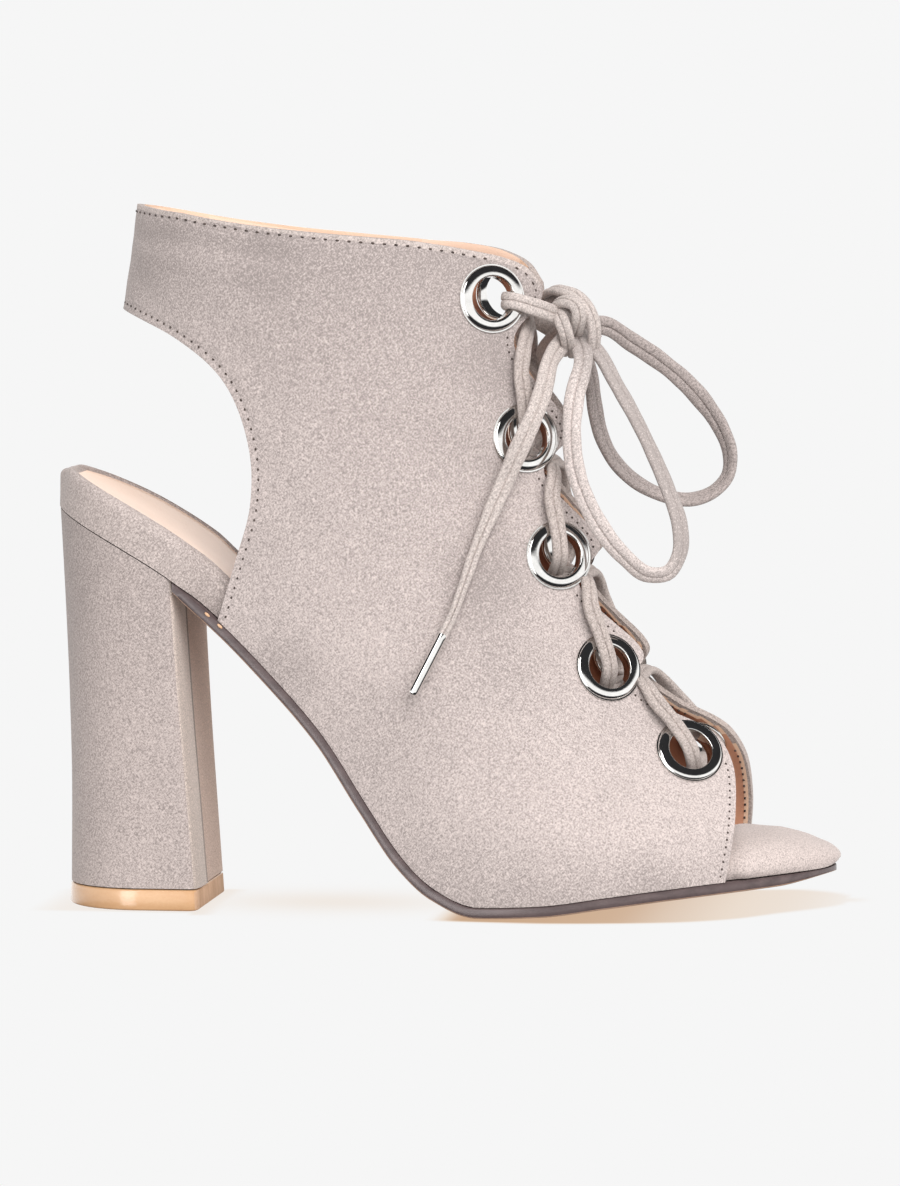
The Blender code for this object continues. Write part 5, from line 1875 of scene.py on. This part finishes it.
def strand(upper, row, side):
    """Route of one strand with its facings and width: from inside, over the notch, into the next eyelet."""
    radius = LACE_THICKNESS / 2
    inside = -UPPER_WALL - STRAND_INSIDE * radius
    start, finish = strand_start(upper, row), np.array(EYELETS[row + 1])
    notch_share = upper.notch_share(row)
    notch, forward = upper.edge(notch_share), -upper.inward(notch_share)
    leave = upper.lifted(start, -side, inside)
    over = upper.lifted(notch + forward * (radius + EDGE_CLEAR), side, STRAND_OVER_EDGE)
    share = abs(leave[1]) / (abs(leave[1]) + abs(over[1]))
    cross = leave + (over - leave) * share
    cross[1] = 0.0
    lie_place = notch + (finish - notch) * STRAND_LIE_SHARE
    rim_place = notch + (finish - notch) * STRAND_RIM_SHARE
    onward = unit(finish - notch)
    points = [
        leave, cross, over,
        upper.lifted(lie_place, side, EYELET_HEIGHT + radius),
        upper.lifted(rim_place, side, EYELET_HEIGHT + radius + GAP),
        upper.lifted(finish + onward * STRAND_ENTRY, side, STRAND_ENTRY_LIFT * radius),
        upper.lifted(finish + onward * STRAND_THROUGH, side, -UPPER_WALL),
        upper.lifted(finish + onward * STRAND_PAST, side, inside),
    ]
    ahead = upper.normal(*start) * (1, 0, 1)
    outward = upper.facing(finish, side)
    faces = [ahead, ahead, ahead + outward] + [outward] * (len(points) - 3)
    return [laid(place) for place in points], faces, STRAND_WIDTH


def build_crossings(upper, material):
    """Both strands of each row, and the bar inside the lowest eyelets."""
    for row in range(len(EYELETS) - 1):
        name = f"lace_crossing_{row + 1}"
        lace_piece(f"{name}_flat", [strand(upper, row, side) for _, side in SIDES], material, name)
    last = strand_start(upper, len(EYELETS) - 1)
    inside = -UPPER_WALL - STRAND_INSIDE * LACE_THICKNESS / 2
    outer, inner = (laid(upper.lifted(last, side, inside)) for _, side in SIDES)
    bar = [outer, (outer + inner) / 2, inner]
    ahead = upper.normal(*last) * (1, 0, 1)
    lace_piece("lace_bar_flat", [(bar, [ahead] * len(bar))], material, "lace_bar")


def from_knot(points):
    """Directions from the knot's middle to points."""
    return [unit(np.array(place) - np.array(KNOT_CENTRE)) for place in points]


def build_knot(upper, material, shaded):
    """Knot of wrapped lace round a dark core of painted shade that fills its gaps, with the two leads from the top
    eyelets.
    """
    core = (KNOT_CORE, [LACE_VIEWED] * len(KNOT_CORE), KNOT_CORE_WIDTH)
    lace_piece("lace_knot_core", [core], shaded)
    wraps = [(route, from_knot(route), KNOT_LACE_WIDTH) for route in (KNOT_ARCH, KNOT_WRAP, KNOT_CROSS)]
    lace_piece("lace_knot_wraps", wraps, material, "lace_knot")
    centre = np.array(KNOT_CENTRE)
    forward = np.array((1.0, 0.0, 0.0))
    for (side_name, side), route in zip(SIDES, (LEAD, LEAD_INNER)):
        lead = [laid(upper.lifted((point.x, point.z), side, point.lift)) for point in route]
        lead += [(lead[-1] + 2 * centre) / 3, centre]
        out = upper.facing(EYELETS[0], side)
        faces = [-out, -out, -forward, -forward] + [out] * (len(lead) - 4)
        name = f"lace_lead_{side_name}"
        lace_piece(f"{name}_flat", [(lead, faces, LEAD_WIDTH)], material, name)


def turned_faces(points, turns):
    """Way that the flat of a loop looks at each point: out to the side, twisted by its turns."""
    curve = EdgeCurve(points)
    faces = []
    for way, share in zip(np.gradient(curve.points, curve.along, axis=0), curve.along / curve.along[-1]):
        way = unit(way)
        flat = unit(np.array(LACE_VIEWED) - (np.array(LACE_VIEWED) @ way) * way)
        twist = math.radians(np.interp(share, *zip(*turns)))
        faces.append(flat * math.cos(twist) + np.cross(way, flat) * math.sin(twist))
    return faces


def build_loops(front, back):
    """Two hanging loops of the bow, the back one in a darker copy of the lace as painted shade."""
    for name, route, turns, material in (
            ("lace_loop_front", LOOP_FRONT, FRONT_TURNS, front),
            ("lace_loop_back", LOOP_BACK, BACK_TURNS, back)):
        points = [KNOT_CENTRE, *route, KNOT_CENTRE]
        thing, path = lace_piece(f"{name}_flat", [(points, turned_faces(points, turns))], material, name)
        declare_lace(thing, path, "knot", [])


def path_length(path):
    return float(np.sum(np.linalg.norm(np.diff(np.array(path), axis=0), axis=1)))


def declare_lace(thing, path, far_end, pieces):
    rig.cord(thing, exit=path[0], length=path_length(path), diameter=LACE_WIDTH * MM, far_end=far_end,
            stiffness="limp", lay="hanging", with_pieces=pieces, path=path)


def end_width(share):
    """Width of a lace end, drawn together towards its aglet."""
    return LACE_WIDTH + (AGLET_DIAMETER - LACE_WIDTH) * smooth_step(share, *END_NARROW)


def build_ends(upper, material, metal):
    """Two free lace ends with their metal aglets, lying on the flaps."""
    for side_name, side in SIDES:
        end = [np.array((x, middle(x) - side * (y - middle(x)), z)) for x, y, z in END_OUTER]
        if side > 0:
            end[:len(END_INNER_TOP)] = [np.array(place) for place in END_INNER_TOP]
        faces = [np.array((END_FACING, side, 0.0))] + [upper.facing((x, z), side) for x, _, z in end]
        end.insert(0, np.array(KNOT_CENTRE))
        along = EdgeCurve(end).along
        widths = [end_width(share) for share in along / along[-1]]
        name = f"lace_end_{side_name}"
        thing, path = lace_piece(f"{name}_flat", [(end, faces, widths)], material, name)
        aglet = build_aglet(f"aglet_{side_name}", end[-1], unit(end[-1] - end[-2]), metal)
        declare_lace(thing, path, "fitting", [aglet])


def build_aglet(name, start, way, metal):
    """Metal tube crimped on the lace, its tip rounded in."""
    across = unit(np.cross(way, (0.0, 0.0, 1.0)))
    other = np.cross(way, across)
    rows = []
    for along, size in AGLET_RINGS:
        places = ring(start + way * along, across, other, size * AGLET_DIAMETER / 2, AGLET_STEPS)
        rows.append([world(*place) for place in places])
    mesh = grid_mesh(name, rows, closed=True, capped=True)
    return add_piece(f"{name}_tube", mesh, (metal,), "nickel", (name,))


# Stage

def floor_shade(x, y):
    """Depth of the floor's shadow: full under the shoe, fading outside its outline, and the arch's cast."""
    half = HEEL[0].half if x < HEEL[0].breast else sole_half(min(x, LENGTH))
    centre = middle(x) + table_value(SHADOW, "aside", x)
    outside = max(abs(y - centre) - half, 0.0) / table_value(SHADOW, "reach", x)
    away = np.linalg.norm((np.array((x, y)) - CAST_CENTRE) / CAST_REACH)
    cast = CAST_DEPTH * math.exp(-away ** 2)
    return max(table_value(SHADOW, "depth", x) * math.exp(-outside ** 2), cast)


def shaded_floor(shape):
    """Fine sheet of floor round the shoe; gives the shade of each of its vertices."""
    xs = np.arange(SHADOW[0].x - SHADOW_MARGIN, SHADOW[-1].x + SHADOW_MARGIN, SHADOW_STEP)
    ys = np.arange(-SOLE_WIDEST - SHADOW_MARGIN, SOLE_WIDEST + SHADOW_MARGIN, SHADOW_STEP)
    add_grid(shape, [[world(x, y, 0.0) for y in ys] for x in xs])
    return [floor_shade(x, y) for x in xs for y in ys], (xs, ys)


def build_stage():
    """Floor that glows like the surroundings, with the shoe's soft shadow painted near it."""
    shape = bmesh.new()
    shades, (xs, ys) = shaded_floor(shape)
    low, high = world(xs[0], ys[0], 0.0), world(xs[-1], ys[-1], 0.0)
    far = [-FLOOR_HALF, FLOOR_HALF]
    around = (((far[0], far[1]), (far[0], low.y)), ((far[0], far[1]), (high.y, far[1])),
              ((far[0], low.x), (low.y, high.y)), ((high.x, far[1]), (low.y, high.y)))
    for (x0, x1), (y0, y1) in around:
        add_grid(shape, [[Vector((x0, y0, 0.0)), Vector((x0, y1, 0.0))],
                         [Vector((x1, y0, 0.0)), Vector((x1, y1, 0.0))]])
    mesh = bpy.data.meshes.new("floor")
    shape.to_mesh(mesh)
    shape.free()
    column = mesh.attributes.new("shade", "FLOAT", "POINT")
    column.data.foreach_set("value", shades + [0.0] * (len(mesh.vertices) - len(shades)))
    floor = bpy.data.objects.new("floor", mesh)
    bpy.context.scene.collection.objects.link(floor)
    material, tree, shader = new_material("lit_floor", roughness=0.9, specular=0.0)
    shade = add_node(tree, "Attribute", {}, attribute_name="shade").outputs["Fac"]
    glow = ramp(tree, shade, (0.0, 0.5, 1.0), ((PALE,) * 3, SHADOW_MID, SHADOW_DEEP))
    set_inputs(tree, shader, {
        "Base Color": (0.0, 0.0, 0.0, 1.0),
        "Emission Color": glow,
        "Emission Strength": 1.0,
    })
    mesh.materials.append(material)
    floor.visible_glossy = False
    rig.stage(floor)


def build_world():
    """Pale surroundings; shiny pieces see pale walls between a dark ceiling and a dark floor."""
    scene_world = bpy.data.worlds.new("studio")
    bpy.context.scene.world = scene_world
    scene_world.use_nodes = True
    tree = scene_world.node_tree
    pale = tree.nodes["Background"]
    set_inputs(tree, pale, {"Color": (PALE, PALE, PALE, 1.0)})
    place = add_node(tree, "TexCoord", {}).outputs["Generated"]
    height = add_node(tree, "VectorMath", {0: place, 1: (0.0, 0.0, 1.0)}, operation="DOT_PRODUCT")
    slope = add_node(tree, "Math", {0: height.outputs["Value"]}, operation="ABSOLUTE").outputs[0]
    walls = ramp(tree, slope, (WHITE_WALL_TOP, DARK_FROM), (MIRRORED_PALE, MIRRORED_DARK))
    mirrored = add_node(tree, "Background", {"Color": walls})
    path = add_node(tree, "LightPath", {})
    inputs = {"Fac": path.outputs["Is Glossy Ray"], 1: pale.outputs[0], 2: mirrored.outputs[0]}
    either = add_node(tree, "MixShader", inputs)
    set_inputs(tree, tree.nodes["World Output"], {"Surface": either.outputs[0]})


def add_light(name, kind, source, strength):
    """Light that shines from a direction towards the shoe."""
    data = bpy.data.lights.new(name, kind)
    data.energy = strength
    light = bpy.data.objects.new(name, data)
    light.location = source
    light.rotation_euler = Vector(source).to_track_quat("Z", "Y").to_euler()
    light.visible_camera = False
    bpy.context.scene.collection.objects.link(light)
    return light


def build_camera():
    yaw, rise = math.radians(CAMERA_YAW), math.radians(CAMERA_RISE)
    back = Vector((math.sin(yaw) * math.cos(rise), -math.cos(yaw) * math.cos(rise), math.sin(rise)))
    data = bpy.data.cameras.new("photo_view")
    data.lens = CAMERA_LENS
    data.sensor_width = CAMERA_SENSOR
    data.clip_end = CAMERA_CLIP_END
    camera = bpy.data.objects.new("photo_view", data)
    camera.location = Vector(CAMERA_AIM) + back * CAMERA_DISTANCE
    camera.rotation_euler = back.to_track_quat("Z", "Y").to_euler()
    bpy.context.scene.collection.objects.link(camera)
    bpy.context.scene.camera = camera


def build_lights():
    """Large soft box at the right, and a tall strip at the left that only shiny pieces show."""
    box = add_light("right_box", "SUN", KEY_FROM, KEY_STRENGTH)
    box.data.angle = math.radians(KEY_ANGLE)
    box.visible_glossy = False
    strip = add_light("left_strip", "AREA", STRIP_FROM, STRIP_STRENGTH)
    strip.data.shape = "RECTANGLE"
    strip.data.size, strip.data.size_y = STRIP_SIZE
    strip.visible_diffuse = False


def main():
    bpy.context.scene.view_settings.view_transform = "Standard"
    build_camera()
    nap = {tone.name: suede(*tone) for tone in SUEDES}
    smooth = {tone.name: grained(*tone) for tone in SMOOTHS}
    metal = polished_metal("polished_nickel")
    lining = shoe_lining("peach_lining")
    upper = Upper()
    # Lace: the front loop in its own tone, the rest in darker copies as painted shade
    build_loops(nap["greige_lace"], nap["greige_lace_back"])
    build_ends(upper, nap["greige_lace_end"], metal)
    build_knot(upper, nap["greige_lace_end"], nap["greige_lace_back"])
    build_crossings(upper, nap["greige_lace_strand"])
    build_outsole(smooth["sole_edge"], smooth["sole_tread"])
    build_glue(smooth["tan_glue"])
    build_footbed(nap["footbed_suede"])
    build_sock(smooth["peach_sock"])
    build_heel(nap["heel_suede"], nap["breast_strip"], nap["breast_seam"], nap["breast_panel"])
    build_lift(smooth["tan_lift"], smooth["tan_lift_front"])
    # Turned edge painted darker as shade, bead, collar's rolled band painted lighter
    trims = (nap["folded_edge"], smooth["peach_bead"], nap["rolled_edge"])
    build_upper(upper, nap["greige_suede"], lining, *trims)
    build_stitches(upper, thread_material("dark_thread"))
    build_eyelets(upper, metal)
    build_stage()
    build_world()
    build_lights()
    with open("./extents.json", "w") as out:
        boxes = {
            "cad": [list(corner) for corner in CAD_BOX],
            "visual": [list(corner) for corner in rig.bounds()],
        }
        json.dump(boxes, out)


main()
